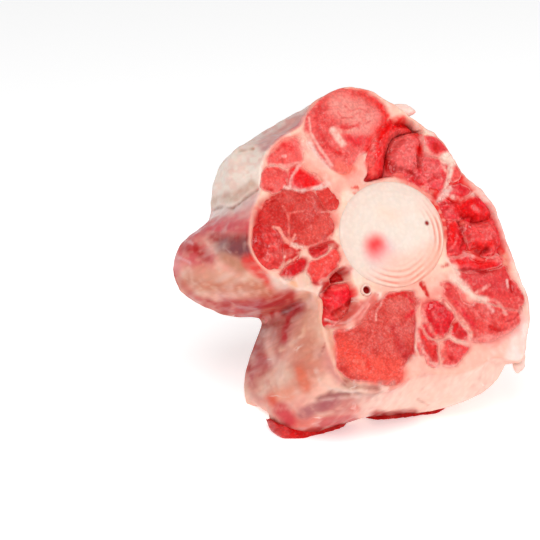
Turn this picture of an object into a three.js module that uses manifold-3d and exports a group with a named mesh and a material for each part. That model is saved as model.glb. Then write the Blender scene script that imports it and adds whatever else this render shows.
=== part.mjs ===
// A thick slice of raw oxtail, resting on its side with one cut face leaning back.
// Millimetres, +Z up, standing on Z = 0. The tail's own line runs back and down through the slice.
// Every shape is drawn on the front cut, in x (right) and y (up) from the middle of the bone,
// and then carried along the tail by its depth w behind that cut.
import * as THREE from "three";
import { mergeVertices } from "three/addons/utils/BufferGeometryUtils.js";
import Module from "manifold-3d";

const wasm = await Module();
wasm.setup();

// Driving dimensions
const LENGTH = 63; // from cut to cut, along the middle of the bone
const LEAN = THREE.MathUtils.degToRad(30); // how far the front cut leans back from upright
const BONE_HEIGHT = 71; // middle of the bone's front end above the table
const BACK_SLANT = 0.09; // the back cut runs this much further back for each mm lower down
const FAT_LEVEL = 0.9; // the fat between the bundles lies this far behind the bone's rim
const CLEARANCE = 0.3; // between two solids that touch
const BONE = { width: 20.5, height: 19, waist: 0.8, dome: 1.6, rim: 1.2 };
const ARTERY = { x: -14.7, y: -17.8, outer: 1.9, bore: 1.1, sides: 10 };

// How far the skin reaches from the middle of the bone, every 15 degrees anticlockwise from the right:
// at the front cut, at the belly and at the back cut. The table flattens the underside afterwards.
const SKIN_FRONT = [43.5, 39.8, 37.8, 40.5, 42.8, 47.6, 54, 55.4, 52, 53.5, 53.8, 52.5,
  54.4, 45, 40, 46.5, 55.5, 54.5, 49.5, 52.5, 54, 61, 54.5, 46.8];
const SKIN_BELLY = [46, 43.5, 43, 45, 46.5, 49.5, 54.5, 54.5, 54.5, 57, 55, 57,
  59, 47, 37, 60, 69, 62, 59.5, 65, 69, 67.5, 57.5, 50.5];
const SKIN_BACK = [46, 46, 46, 47.5, 49, 50.5, 55, 55, 55.5, 54, 51, 61,
  59.5, 44, 35, 60, 68, 63, 60, 65, 68.5, 63, 54, 48.5];
const BELLY_DEPTH = 24; // where the belly's reach is measured
const RIM_ROUND = 3.2; // depth over which the front cut's edge rounds into the skin

// Folds and swellings of the skin: angle and half-width in degrees, height in mm, depths they run over
const SWELLS = [
  { angle: 153, width: 5, height: -3.2, from: -20, to: 90 },
  { angle: 122, width: 6, height: -1.8, from: -20, to: 40 },
  { angle: 207, width: 6, height: -2.6, from: -20, to: 90 },
  { angle: 199, width: 5, height: 1.4, from: 4, to: 70 },
  { angle: 266, width: 7, height: -2.2, from: -30, to: 6 },
  { angle: 138, width: 9, height: 3.2, from: 12, to: 52 },
  { angle: 26, width: 6, height: -1.2, from: -20, to: 90 },
  { angle: 340, width: 8, height: -1.5, from: 10, to: 90 },
  { angle: 75, width: 7, height: -1.6, from: 8, to: 90 },
];

// Muscle bundles: the outline of each on the front cut. sink sets its end behind the others,
// slope tips that end (mm deeper for each mm right and up), dome is how far its middle stands out.
const BUNDLES = {
  crown: { dome: 1.8, outline: [[-22.5, 44], [-16, 51.5], [-6, 53.2], [3.5, 50], [8.5, 43.5],
    [1.5, 35.5], [-5, 30], [-12.5, 24], [-20, 29.5], [-23, 38]] },
  pocket_wall: { sink: 3.4, slope: [0.42, -0.42], outline: [[-3, 21], [-2, 27], [2, 32.5], [6.5, 37],
    [11.5, 39], [17, 37.5], [19.5, 35.2], [15.5, 34.8], [10.5, 33.5], [7, 29], [4.5, 23.5], [1, 20.2]] },
  pocket_lump: { sink: 1.6, dome: 2.2, outline: [[12, 32.5], [16.5, 33.2], [20.3, 31.3], [19, 27.5],
    [16.5, 24.5], [15, 21.4], [10.5, 21.9], [6.5, 23.2], [8.4, 27.5]] },
  shoulder_upper: { dome: 1, outline: [[22, 31.6], [25, 31.2], [27.5, 28.8], [29.2, 25.8], [28.4, 24.9],
    [24.5, 25.6], [21.8, 26.6], [21, 29]] },
  shoulder_lower: { sink: 0.6, dome: 1.4, outline: [[21, 24.6], [25.2, 23.4], [27, 19.5], [25.4, 15],
    [22.5, 13.4], [18.5, 14.9], [15, 17.2], [13.2, 19.3], [16.5, 20.2], [19.6, 20.5]] },
  sliver: { dome: 0.6, outline: [[29.2, 19], [31, 21.6], [31.9, 19], [30.6, 15.9], [28.6, 15.4],
    [28, 17]] },
  bead: { dome: 1.2, outline: [[26.3, 12], [29, 13.3], [32, 12.8], [34, 11], [32.4, 9], [28.5, 9.2],
    [26.4, 10]] },
  rib_inner: { sink: 0.8, dome: 1, outline: [[22.3, 7.6], [24.3, 8.4], [27, 7.2], [28.6, 5.4],
    [27.3, 2.6], [24.3, 2.7], [23, 4.8]] },
  rib_outer: { sink: 1.6, slope: [0, -0.34], dome: 0.8, outline: [[30.6, 5.5], [34.5, 8.4], [37.8, 6.5],
    [40, 2.8], [40.6, 0.6], [37, -0.4], [33.2, 1.2], [30.8, 2.8]] },
  flank: { sink: 0.8, dome: 2.4, outline: [[31.4, -2.2], [35, -3.4], [39.6, -1.8], [41.3, -5.5],
    [41, -10], [38.6, -12.8], [35.4, -11.4], [31.7, -9.4], [30.4, -6.6]] },
  flank_inner: { sink: 1.4, dome: 1.2, outline: [[23.8, 0.8], [26, 0.4], [27.8, -3], [28.2, -6.5],
    [25.8, -10.2], [23.2, -11.2], [22, -9.6], [22.3, -6], [23, -3]] },
  flank_band: { dome: 1, outline: [[20.6, -13.8], [23.5, -12.9], [28, -13.2], [32, -15.4],
    [36.3, -15.3], [39.8, -15.2], [39.2, -16.9], [36, -17.4], [30, -17.3], [24, -16]] },
  haunch_upper: { dome: 1.2, outline: [[22.8, -18], [29.5, -18.9], [37, -19], [40.5, -18.7], [42.8, -23],
    [44.8, -28], [45.2, -32.2], [40, -32.4], [34.5, -29.2], [28.6, -27.3], [25.2, -23.2]] },
  haunch_lower: { sink: 0.2, dome: 1.4, outline: [[15.4, -20.4], [18.3, -20.2], [20.8, -23.5], [22.2, -28.2],
    [27, -30.3], [33, -31.8], [38, -34.6], [42.2, -36.9], [40.6, -40], [36, -41.8], [28, -43.2],
    [22.6, -41.4], [19.9, -34], [17, -27]] },
  drop_a: { sink: 0.6, dome: 1, outline: [[6, -29], [8, -26], [11, -25.4], [14, -26.2], [15.8, -29.5],
    [16.6, -32.8], [14, -34.8], [11.5, -37.6], [8.5, -38], [6.2, -36.5], [5.2, -33]] },
  drop_b: { dome: 0.8, outline: [[16.8, -35.2], [18.8, -36.9], [20, -39.8], [18.8, -41], [16, -40],
    [14.6, -38.6], [15.4, -36.6]] },
  drop_c: { dome: 0.8, outline: [[2, -34.6], [3.5, -37.4], [6, -40], [7, -42.5], [6.2, -47.2],
    [3, -46.8], [1.2, -43.4], [0.8, -38.5]] },
  drop_d: { dome: 0.9, outline: [[10, -41.4], [13, -41.5], [17, -42.8], [19.4, -44.2], [17.2, -46.3],
    [13.5, -48.2], [10.2, -49], [8.6, -46.8]] },
  keel: { dome: 1.6, outline: [[-30.2, -30.8], [-24.5, -30], [-18.6, -28], [-14.2, -23.7], [-10.6, -21.9],
    [-5.5, -21.4], [0, -21.3], [4.6, -22.8], [2, -28.5], [-0.7, -35.5], [-2.4, -42], [-6.5, -45.8],
    [-11.5, -50.8], [-19.5, -48.8], [-27, -46.2], [-31, -42.2], [-30.2, -37]] },
  hollow_lump: { sink: 3.2, dome: 1.6, outline: [[-32.2, -18.2], [-30, -15.8], [-26, -14.6], [-21.6, -14.4],
    [-19.4, -16], [-19.2, -19.6], [-20.8, -22.6], [-23.5, -24.8], [-28, -26.2], [-32, -25.4],
    [-32.6, -22]] },
  hollow_tip: { sink: 4.2, outline: [[-26, -12.2], [-24.3, -10.6], [-22.2, -9.6], [-21.4, -10.6],
    [-21.6, -12.2], [-23.6, -13]] },
  wing_main: { dome: 1.6, outline: [[-43.6, 17.6], [-38, 19.8], [-31.5, 19.8], [-27.2, 18.8], [-24.6, 14],
    [-22.4, 9.2], [-22.6, 4.8], [-26, 2.2], [-31.5, 0.9], [-36.2, 2.2], [-37, 6.5], [-36.6, 12],
    [-38.8, 15.2]] },
  wing_back: { dome: 0.7, outline: [[-45, 15.8], [-41.2, 14.6], [-39, 11.5], [-39.2, 7.2], [-40.4, 5.6],
    [-42, 8.4], [-44.6, 11], [-48.6, 11.9]] },
  wing_low: { dome: 1.3, outline: [[-50, 9.8], [-46, 9.2], [-43.4, 7], [-42.3, 3.2], [-43.6, -0.6],
    [-45.6, -4.2], [-48.8, -3.4], [-51.4, 1], [-51.6, 5.6]] },
  wing_bead: { dome: 0.6, outline: [[-41.2, 1.9], [-39, 2.2], [-37.2, 0], [-38.2, -2], [-41, -2.8],
    [-42.2, -2.4]] },
  wing_drop: { sink: 0.8, dome: 0.6, outline: [[-44, -6.8], [-41.8, -5], [-37.5, -3.8], [-34.6, -3.4],
    [-35.6, -5.6], [-39, -7.8], [-42.4, -8.6]] },
  wedge: { sink: 0.8, dome: 0.4, outline: [[-31.8, -1.2], [-29, -0.4], [-25.4, 0.2], [-25.4, -1],
    [-28.5, -2.6], [-31.4, -2.7]] },
  saddle: { sink: 0.3, dome: 1, outline: [[-32.6, -5.6], [-29, -4.2], [-25, -2.8], [-22.6, -2],
    [-22.8, -5], [-24.4, -7.6], [-28, -9.8], [-31, -12], [-33.6, -12], [-34, -9]] },
  wing_tip: { dome: 0.6, outline: [[-24.2, 18.6], [-20.5, 18.4], [-18, 16.6], [-19.2, 13.6],
    [-21.2, 12.6], [-22.6, 14.8]] },
  ridge_a: { dome: 1.2, outline: [[-33.5, 37.6], [-28.5, 38.5], [-25.4, 36.8], [-27, 33.2], [-29.2, 30.8],
    [-34.5, 30.2], [-39.2, 31], [-39, 33.6]] },
  ridge_b: { dome: 1, outline: [[-41, 29.6], [-36.2, 29], [-35.8, 25.5], [-37.8, 22.6], [-41, 22.4],
    [-44, 23.4], [-44, 27]] },
  ridge_c: { sink: 0.4, dome: 1, outline: [[-31.5, 27.8], [-28.5, 28.8], [-25.5, 26.8], [-22, 24.2],
    [-20.8, 22.3], [-23.8, 21.2], [-29, 21], [-33.4, 22.4], [-34, 24.6]] },
};

// The seams that part the fat into three pads, drawn from the bone outwards on the front cut:
// the fold above the left lobe, the deep groove below it, and the seam under the flank
const SEAMS = {
  fold: [[-8, 9], [-20.5, 19.9], [-24, 19.9], [-38, 21.1], [-75, 24.5]],
  groove: [[-15, -2.6], [-22, -7.5], [-34, -16], [-75, -45]],
  flank: [[15, -8], [20.8, -11.5], [23.4, -12.05], [28, -12.2], [32, -13.3], [38.7, -14], [75, -21]],
};
// Each pad lies anticlockwise from its first seam to its second; round takes its outline outside the skin
const FAT_PADS = {
  fat_upper: { from: "flank", to: "fold", round: [[75, 95], [-75, 95]] },
  fat_lobe: { from: "fold", to: "groove", round: [] },
  fat_lower: { from: "groove", to: "flank", round: [[-75, -95], [75, -95]] },
};

// Red meat that shows along the foot of the slice, under the edge of the fat: the middle of its front
// edge, its length and depth on the table, its height at each end, and its turn in degrees
const FOOT_MUSCLES = {
  foot_left: { x: -30.5, y: -1.8, length: 31, depth: 16, heights: [5.6, 3.8], turn: 5 },
  foot_right: { x: 7, y: -2.4, length: 31, depth: 15, heights: [3.9, 1.9], turn: -9 },
};

// Loose ends of fat at the edge of the front cut: from, to, thickness at the root and at the tip
const TAGS = [
  { from: [17, 40, 4], to: [20.5, 43.2, 3], root: 1.9, tip: 1 },
  { from: [42.5, -43, 7], to: [37.6, -56.3, 4], root: 4, tip: 1.5 },
];

const COLOURS = { fat: 0xf1d2c2, bone: 0xf3ebe0, artery: 0xe8b9ac, muscle: 0xcf3b38, deep: 0xa80f1c };

// The tail's own axes in the part's frame
const RIGHT = new THREE.Vector3(1, 0, 0);
const UP_THE_CUT = new THREE.Vector3(0, Math.sin(LEAN), Math.cos(LEAN));
const ALONG = new THREE.Vector3(0, Math.cos(LEAN), -Math.sin(LEAN));

function place(x, y, w) {
  return new THREE.Vector3(0, 0, BONE_HEIGHT)
    .addScaledVector(RIGHT, x)
    .addScaledVector(UP_THE_CUT, y)
    .addScaledVector(ALONG, w);
}

// A smooth value read from numbers spaced evenly round a full turn
function aroundTurn(values, angle) {
  const n = values.length;
  const at = (((angle / (2 * Math.PI)) * n) % n + n) % n;
  const i = Math.floor(at);
  const t = at - i;
  const [a, b, c, d] = [-1, 0, 1, 2].map((k) => values[(i + k + n) % n]);
  return b + 0.5 * t * (c - a + t * (2 * a - 5 * b + 4 * c - d + t * (3 * (b - c) + d - a)));
}

function backCut(y) {
  return LENGTH - BACK_SLANT * y;
}

function smallerOf(a, b, blend) {
  const h = Math.max(blend - Math.abs(a - b), 0) / blend;
  return Math.min(a, b) - (h * h * blend) / 4;
}

// The distance from the bone's line to the table, along an angle that points downwards
function tableReach(angle, w) {
  const fall = -Math.sin(angle) * Math.cos(LEAN);
  return fall > 0.05 ? (BONE_HEIGHT - w * Math.sin(LEAN)) / fall : Infinity;
}

function swell(angle, w) {
  let sum = 0;
  for (const s of SWELLS) {
    const off = THREE.MathUtils.euclideanModulo(THREE.MathUtils.radToDeg(angle) - s.angle + 180, 360) - 180;
    const ends = THREE.MathUtils.smoothstep(w, s.from, s.from + 12)
      * (1 - THREE.MathUtils.smoothstep(w, s.to - 8, s.to));
    sum += s.height * Math.exp(-((off / s.width) ** 2)) * ends;
  }
  return sum;
}

// How far the skin reaches at an angle and a depth. share is how much of the swelling behind the cut counts.
function skinReach(angle, w, share = 1) {
  const front = aroundTurn(SKIN_FRONT, angle);
  const belly = aroundTurn(SKIN_BELLY, angle);
  const back = aroundTurn(SKIN_BACK, angle);
  const toBelly = Math.sin((Math.PI / 2) * THREE.MathUtils.clamp(w / BELLY_DEPTH, 0, 1));
  const toBack = THREE.MathUtils.smoothstep(w, BELLY_DEPTH, LENGTH);
  const grown = front + (belly - front) * toBelly + (back - belly) * toBack;
  return grown > front ? front + (grown - front) * share : grown;
}

function outerReach(angle, w) {
  const uneven = 0.5 * Math.sin(5 * angle + w / 9) + 0.4 * Math.sin(9 * angle - w / 6 + 1);
  const free = skinReach(angle, w) + swell(angle, w) + uneven;
  const table = tableReach(angle, w);
  return Number.isFinite(table) ? smallerOf(free, table + 1.2, 5) : free;
}

// Carries a point of the front cut back to depth w: outside the bone it spreads or closes in with the skin
const BONE_REACH = 21;
const MUSCLE_SHARE = 0.5; // a bundle spreads by this share of what the skin does
const TABLE_MARGIN = 3.5;
const COVER = 2.6; // least fat between a bundle and the skin, behind the front cut
function carried(x, y, w, covered = true) {
  const r = Math.hypot(x, y);
  if (r <= BONE_REACH || w <= 0) return [x, y];
  const angle = Math.atan2(y, x);
  const front = skinReach(angle, 0);
  const there = smallerOf(skinReach(angle, w, MUSCLE_SHARE), tableReach(angle, w) - TABLE_MARGIN, 3);
  const grown = BONE_REACH + ((r - BONE_REACH) * (there - BONE_REACH)) / (front - BONE_REACH);
  const kept = covered ? smallerOf(grown, outerReach(angle, w) - COVER, 1) : grown;
  return [(x * kept) / r, (y * kept) / r];
}

// A closed solid through rings of equally many points, front to back, with both ends filled in
function loft(rings, across = RIGHT, up = UP_THE_CUT) {
  const n = rings[0].length;
  const positions = rings.flat().flatMap((p) => [p.x, p.y, p.z]);
  const faces = [];
  for (let k = 0; k + 1 < rings.length; k++)
    for (let i = 0; i < n; i++) {
      const j = (i + 1) % n;
      const [a, b] = [k * n + i, k * n + j];
      faces.push(a, a + n, b, b, a + n, b + n);
    }
  const fill = (ring, start, turned) => {
    const flat = ring.map((p) => new THREE.Vector2(p.dot(across), p.dot(up)));
    for (const [a, b, c] of THREE.ShapeUtils.triangulateShape(flat, []))
      faces.push(start + a, start + (turned ? c : b), start + (turned ? b : c));
  };
  fill(rings[0], 0, false);
  fill(rings[rings.length - 1], (rings.length - 1) * n, true);
  return new THREE.BufferGeometry()
    .setAttribute("position", new THREE.Float32BufferAttribute(positions, 3))
    .setIndex(faces);
}

function solidOf(geometry) {
  const bare = geometry.clone();
  bare.deleteAttribute("normal");
  bare.deleteAttribute("uv");
  const merged = mergeVertices(bare, 1e-4);
  return new wasm.Manifold(new wasm.Mesh({
    numProp: 3,
    vertProperties: merged.attributes.position.array,
    triVerts: new Uint32Array(merged.index.array),
  }));
}

function geometryOf(solid) {
  const mesh = solid.getMesh();
  return new THREE.BufferGeometry()
    .setAttribute("position", new THREE.Float32BufferAttribute(mesh.vertProperties, 3))
    .setIndex([...mesh.triVerts]);
}

const SIDE_LENGTH = 3.85; // a bundle's outline is cut into sides of about this length
const FEWEST_SIDES = 7;
const MOST_SIDES = 30;

// Evenly spaced points on the smooth closed line through an outline, anticlockwise
function smoothOutline(outline) {
  const corners = outline.map(([x, y]) => new THREE.Vector3(x, y, 0));
  const line = new THREE.CatmullRomCurve3(corners, true, "centripetal");
  const sides = THREE.MathUtils.clamp(Math.round(line.getLength() / SIDE_LENGTH), FEWEST_SIDES, MOST_SIDES);
  const points = line.getSpacedPoints(sides).slice(0, sides).map((p) => new THREE.Vector2(p.x, p.y));
  return THREE.ShapeUtils.area(points) < 0 ? points.reverse() : points;
}

// The outline with every side moved outwards by a distance, or inwards where the distance is negative
const LONGEST_CORNER = 3.5; // a sharp corner moves by at most this many times the distance
function moved(points, distance) {
  const n = points.length;
  const outwards = (p, q) => new THREE.Vector2(q.y - p.y, p.x - q.x).normalize();
  return points.map((p, i) => {
    const before = outwards(points[(i + n - 1) % n], p);
    const after = outwards(p, points[(i + 1) % n]);
    const corner = before.clone().add(after).divideScalar(Math.max(1 + before.dot(after), 0.1));
    return new THREE.Vector2(p.x, p.y).addScaledVector(corner.clampLength(0, LONGEST_CORNER), distance);
  });
}

function middleOf(points) {
  return points.reduce((sum, p) => sum.add(p), new THREE.Vector2()).divideScalar(points.length);
}

function seenFrom(middle, points) {
  return points.every((p, i) => {
    const q = points[(i + 1) % points.length];
    return (p.x - middle.x) * (q.y - middle.y) - (p.y - middle.y) * (q.x - middle.x) > 0;
  });
}

// Rings that close a bundle's end: each is the outline drawn in, with how much of the dome it has
function endRings(points) {
  const middle = middleOf(points);
  const width = Math.sqrt(Math.abs(THREE.ShapeUtils.area(points)));
  if (!seenFrom(middle, points)) return [{ ring: moved(points, -0.45), raised: 0.6 }];
  const shares = width > 14 ? [0.5, 0.85] : [0.8];
  return shares.map((share) => ({
    ring: points.map((p) => p.clone().sub(middle).multiplyScalar(share).add(middle)),
    raised: 1 - share ** 3,
  }));
}

const STATIONS = [0, 13, 32, 76]; // depths where the bundles and their ways through the fat may bend

// Like carried, but straight from station to station, so that a bundle and its way always match
function alongWay(x, y, w, covered = true) {
  const k = THREE.MathUtils.clamp(STATIONS.filter((depth) => depth <= w).length, 1, STATIONS.length - 1);
  const [from, to] = [STATIONS[k - 1], STATIONS[k]];
  const t = THREE.MathUtils.clamp((w - from) / (to - from), 0, 1);
  const [a, b] = [carried(x, y, from, covered), carried(x, y, to, covered)];
  return [a[0] + (b[0] - a[0]) * t, a[1] + (b[1] - a[1]) * t];
}

// A bundle's outline at each depth where its sides may bend, from its front end to its back end
function waypoints(shape) {
  const points = smoothOutline(shape.outline);
  const at = (p, w) => new THREE.Vector3(...alongWay(p.x, p.y, w), w);
  return [
    points.map((p) => at(p, frontEnd(shape, p, -0.2))),
    ...STATIONS.slice(1, -1).map((w) => points.map((p) => at(p, w))),
    points.map((p) => at(p, backEnd(p, 0))),
  ];
}

function frontEnd({ sink = 0, slope = [0, 0], dome = 0.8, outline }, p, raised) {
  const middle = middleOf(outline.map(([x, y]) => new THREE.Vector2(x, y)));
  return FAT_LEVEL + sink - dome * raised + slope[0] * (p.x - middle.x) + slope[1] * (p.y - middle.y);
}

function backEnd(p, raised) {
  return backCut(alongWay(p.x, p.y, LENGTH)[1]) - 0.9 + 0.7 * raised;
}

function placed(ring) {
  return ring.map((p) => place(p.x, p.y, p.z));
}

function bundle(shape) {
  const ends = endRings(smoothOutline(shape.outline));
  const last = ends[ends.length - 1];
  const drawn = (ring, depthOf) => ring.map((p) => place(...alongWay(p.x, p.y, depthOf(p)), depthOf(p)));
  return loft([
    ...ends.map((e) => drawn(e.ring, (p) => frontEnd(shape, p, e.raised))),
    ...waypoints(shape).map(placed),
    drawn(last.ring, (p) => backEnd(p, last.raised)),
  ]);
}

// The way a bundle takes through the fat: its sides with clearance all round, open at both cuts
function channel(shape) {
  const rings = waypoints(shape).map((ring) => {
    const wider = moved(ring, CLEARANCE);
    return ring.map((p, i) => new THREE.Vector3(wider[i].x, wider[i].y, p.z));
  });
  const before = rings[0].map((p) => new THREE.Vector3(p.x, p.y, -8));
  const after = rings[rings.length - 1].map((p) => new THREE.Vector3(p.x, p.y, LENGTH + 14));
  return loft([before, ...rings, after].map(placed));
}

// The bone: an oval shaft, narrower at the middle, with a domed plate of cartilage at each end
const BONE_SIDES = 28;
function boneRing(scale, depthOf, grow = 0) {
  return Array.from({ length: BONE_SIDES }, (_, i) => {
    const angle = (2 * Math.PI * i) / BONE_SIDES;
    const x = (BONE.width * scale + grow) * Math.cos(angle);
    const y = (BONE.height * scale + grow) * Math.sin(angle);
    return place(x, y, depthOf(y));
  });
}

function boneShaft(grow = 0) {
  return [
    boneRing(1, () => BONE.rim, grow),
    ...[0.2, 0.5, 0.8].map((share) => boneRing(
      1 - (1 - BONE.waist) * Math.sin(Math.PI * share) ** 2, (y) => backCut(y) * share, grow)),
    boneRing(1, (y) => backCut(y) - BONE.rim, grow),
  ];
}

function bone() {
  const dome = (share) => BONE.dome * (1 - share ** 3);
  const shares = [0.45, 0.8, 0.965];
  return loft([
    ...shares.map((share) => boneRing(share, () => -dome(share))),
    ...boneShaft(),
    ...shares.toReversed().map((share) => boneRing(share, (y) => backCut(y) + dome(share))),
  ]);
}

function boneWay() {
  return loft([
    boneRing(1, () => -8, CLEARANCE),
    ...boneShaft(CLEARANCE),
    boneRing(1, () => LENGTH + 14, CLEARANCE),
  ]);
}

// The artery under the bone: a soft tube, open at both ends
function artery() {
  const ring = (radius, w) => Array.from({ length: ARTERY.sides }, (_, i) => {
    const angle = (2 * Math.PI * i) / ARTERY.sides;
    return place(ARTERY.x + radius * Math.cos(angle), ARTERY.y + radius * Math.sin(angle), w);
  });
  const end = backCut(ARTERY.y);
  const wall = loft([ring(ARTERY.outer, 0.6), ring(ARTERY.outer, end / 2), ring(ARTERY.outer, end - 0.4)]);
  const bore = loft([ring(ARTERY.bore, -2), ring(ARTERY.bore, end + 3)]);
  return geometryOf(solidOf(wall).subtract(solidOf(bore)));
}

function arteryWay() {
  const ring = (w) => Array.from({ length: ARTERY.sides }, (_, i) => {
    const angle = (2 * Math.PI * i) / ARTERY.sides;
    const radius = ARTERY.outer + CLEARANCE;
    return place(ARTERY.x + radius * Math.cos(angle), ARTERY.y + radius * Math.sin(angle), w);
  });
  return loft([ring(-8), ring(LENGTH + 14)]);
}

// The whole slice's outer form, from the front cut over the skin to the back cut
const SKIN_SIDES = 60;
function envelope() {
  const ring = (share, depthOf) => Array.from({ length: SKIN_SIDES }, (_, i) => {
    const angle = (2 * Math.PI * i) / SKIN_SIDES;
    const reachAt = (w) => outerReach(angle, w) * share;
    const rough = depthOf(0);
    const w = depthOf(reachAt(rough) * Math.sin(angle));
    return place(reachAt(w) * Math.cos(angle), reachAt(w) * Math.sin(angle), w);
  });
  const along = [8, 15, 23, 33, 45];
  return loft([
    ring(0.94, () => FAT_LEVEL),
    ring(0.98, () => FAT_LEVEL + 0.8),
    ring(1, () => RIM_ROUND),
    ...along.map((w) => ring(1, (y) => (w * (backCut(y) - 4)) / (LENGTH - 4))),
    ring(0.995, (y) => backCut(y) - 3.2),
    ring(0.95, (y) => backCut(y) - 0.8),
  ]);
}

// A half space below the table, to cut the resting flat
function table() {
  const slab = new THREE.BoxGeometry(400, 400, 60);
  slab.translate(0, 0, -30);
  return slab;
}

// A loose end of fat: a short blunt cone with a round tip
function tag({ from, to, root, tip }) {
  const [start, end] = [place(...from), place(...to)];
  const profile = [
    new THREE.Vector2(0, 0), new THREE.Vector2(root, 0),
    new THREE.Vector2((root + tip) / 2, 0.55), new THREE.Vector2(tip, 0.92), new THREE.Vector2(0, 1),
  ];
  const length = start.distanceTo(end);
  const shape = new THREE.LatheGeometry(profile.map((p) => new THREE.Vector2(p.x, p.y * length)), 10);
  const turn = new THREE.Quaternion().setFromUnitVectors(
    new THREE.Vector3(0, 1, 0), end.clone().sub(start).normalize());
  return shape.applyQuaternion(turn).translate(start.x, start.y, start.z);
}

// A strip of muscle lying on the table: a long rounded loaf, drawn as rings round its length
const FOOT_RINGS = 11;
function footMuscle({ x, y, length, depth, heights, turn }, grow = 0) {
  const profile = 12;
  const rings = Array.from({ length: FOOT_RINGS }, (_, k) => {
    const t = 1 - (k / (FOOT_RINGS - 1)) * 2;
    const full = Math.sqrt(1 - (0.985 * t) ** 4);
    const even = THREE.MathUtils.lerp(heights[0], heights[1], (t + 1) / 2) * full;
    const height = even * (1 + 0.12 * Math.sin(5 * t + x));
    const halfDepth = (depth / 2) * (0.35 + 0.65 * full);
    return Array.from({ length: profile }, (_, i) => {
      const angle = (2 * Math.PI * i) / profile;
      const across = Math.sign(Math.cos(angle)) * Math.abs(Math.cos(angle)) ** 0.6 * (halfDepth + grow);
      const up = Math.sin(angle) < -0.01 ? -1 - grow : Math.abs(Math.sin(angle)) ** 0.7 * (height + grow);
      return new THREE.Vector3((t * length) / 2 + Math.sign(t) * grow, depth / 2 + across, up);
    });
  });
  const geometry = loft(rings, new THREE.Vector3(0, 1, 0), new THREE.Vector3(0, 0, 1));
  return geometry.rotateZ(THREE.MathUtils.degToRad(turn)).translate(x, y, 0);
}

const skin = solidOf(envelope());
const belowTable = solidOf(table());

function foot(shape) {
  const pad = solidOf(footMuscle(shape));
  return geometryOf(pad.subtract(belowTable));
}

// The space of one pad of fat, between two seams and out past the skin
const SEAM_GAP = 0.7 * CLEARANCE; // each pad keeps this far from its seams
function padSpace({ from, to, round }) {
  const corners = [...SEAMS[from], ...round, ...SEAMS[to].toReversed()];
  const points = moved(corners.map(([x, y]) => new THREE.Vector2(x, y)), -SEAM_GAP);
  const rings = [-12, ...STATIONS].map((w) => points.map((p) => place(...alongWay(p.x, p.y, w, false), w)));
  return solidOf(loft(rings));
}

function fat() {
  let solid = skin;
  for (const shape of TAGS) solid = solid.add(solidOf(tag(shape)));
  solid = solid.subtract(solidOf(boneWay()));
  solid = solid.subtract(solidOf(arteryWay()));
  for (const shape of Object.values(BUNDLES)) solid = solid.subtract(solidOf(channel(shape)));
  for (const shape of Object.values(FOOT_MUSCLES))
    solid = solid.subtract(solidOf(footMuscle(shape, CLEARANCE)));
  return solid.subtract(belowTable);
}

const MATERIALS = {
  fat: new THREE.MeshStandardMaterial({ color: COLOURS.fat, roughness: 0.45, metalness: 0 }),
  bone: new THREE.MeshStandardMaterial({ color: COLOURS.bone, roughness: 0.35, metalness: 0 }),
  artery: new THREE.MeshStandardMaterial({ color: COLOURS.artery, roughness: 0.4, metalness: 0 }),
  muscle: new THREE.MeshStandardMaterial({ color: COLOURS.muscle, roughness: 0.4, metalness: 0 }),
  deep: new THREE.MeshStandardMaterial({ color: COLOURS.deep, roughness: 0.3, metalness: 0 }),
};

function piece(name, geometry, material) {
  const mesh = new THREE.Mesh(geometry, material);
  mesh.name = name;
  return mesh;
}

const oxtail = new THREE.Group();
const wholeFat = fat();
for (const [name, pad] of Object.entries(FAT_PADS))
  oxtail.add(piece(name, geometryOf(wholeFat.intersect(padSpace(pad))), MATERIALS.fat));
oxtail.add(piece("vertebra", bone(), MATERIALS.bone));
oxtail.add(piece("artery", artery(), MATERIALS.artery));
for (const [name, shape] of Object.entries(BUNDLES))
  oxtail.add(piece(`muscle_${name}`, bundle(shape), shape.sink > 1 ? MATERIALS.deep : MATERIALS.muscle));
for (const [name, shape] of Object.entries(FOOT_MUSCLES))
  oxtail.add(piece(`muscle_${name}`, foot(shape), MATERIALS.deep));

// Stand the slice on the middle of its own box
const bounds = new THREE.Box3().setFromObject(oxtail);
const middle = bounds.getCenter(new THREE.Vector3());
oxtail.position.set(-middle.x, -middle.y, -bounds.min.z);

export default oxtail;
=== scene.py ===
# %% [markdown]
# # A thick slice of raw oxtail
# The slice rests on its side with one cut face leaning back. Round the bone lie bundles of red muscle,
# set in pale fat, and a moist skin of membrane wraps the outside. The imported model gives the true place
# of every bundle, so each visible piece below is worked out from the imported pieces.

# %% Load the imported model
import math

import bmesh
import bpy
import numpy as np
from mathutils import Matrix, Vector
from mathutils.bvhtree import BVHTree


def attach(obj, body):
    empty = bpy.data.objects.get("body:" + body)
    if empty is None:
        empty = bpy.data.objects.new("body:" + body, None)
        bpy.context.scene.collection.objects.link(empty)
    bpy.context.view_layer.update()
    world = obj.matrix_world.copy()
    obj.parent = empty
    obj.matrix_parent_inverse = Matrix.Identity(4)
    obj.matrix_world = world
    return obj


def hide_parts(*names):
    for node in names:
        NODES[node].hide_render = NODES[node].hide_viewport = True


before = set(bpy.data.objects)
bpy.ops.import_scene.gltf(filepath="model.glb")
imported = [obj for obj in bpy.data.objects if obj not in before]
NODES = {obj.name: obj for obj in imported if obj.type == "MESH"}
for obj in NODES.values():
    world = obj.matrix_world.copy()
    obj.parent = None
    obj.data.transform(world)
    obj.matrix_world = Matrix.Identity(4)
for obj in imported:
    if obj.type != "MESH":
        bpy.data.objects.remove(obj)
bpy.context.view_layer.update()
MEAT_PREFIX = "muscle_"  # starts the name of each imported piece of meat
print("pieces in the packed model:", len(NODES))

# %% [markdown]
# ## The tail's own axes
# Every shape is easiest to draw on the cut face: x to the right, y up the cut, and w along the tail,
# all in millimetres from the middle of the bone. The bone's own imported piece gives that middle.

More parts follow.
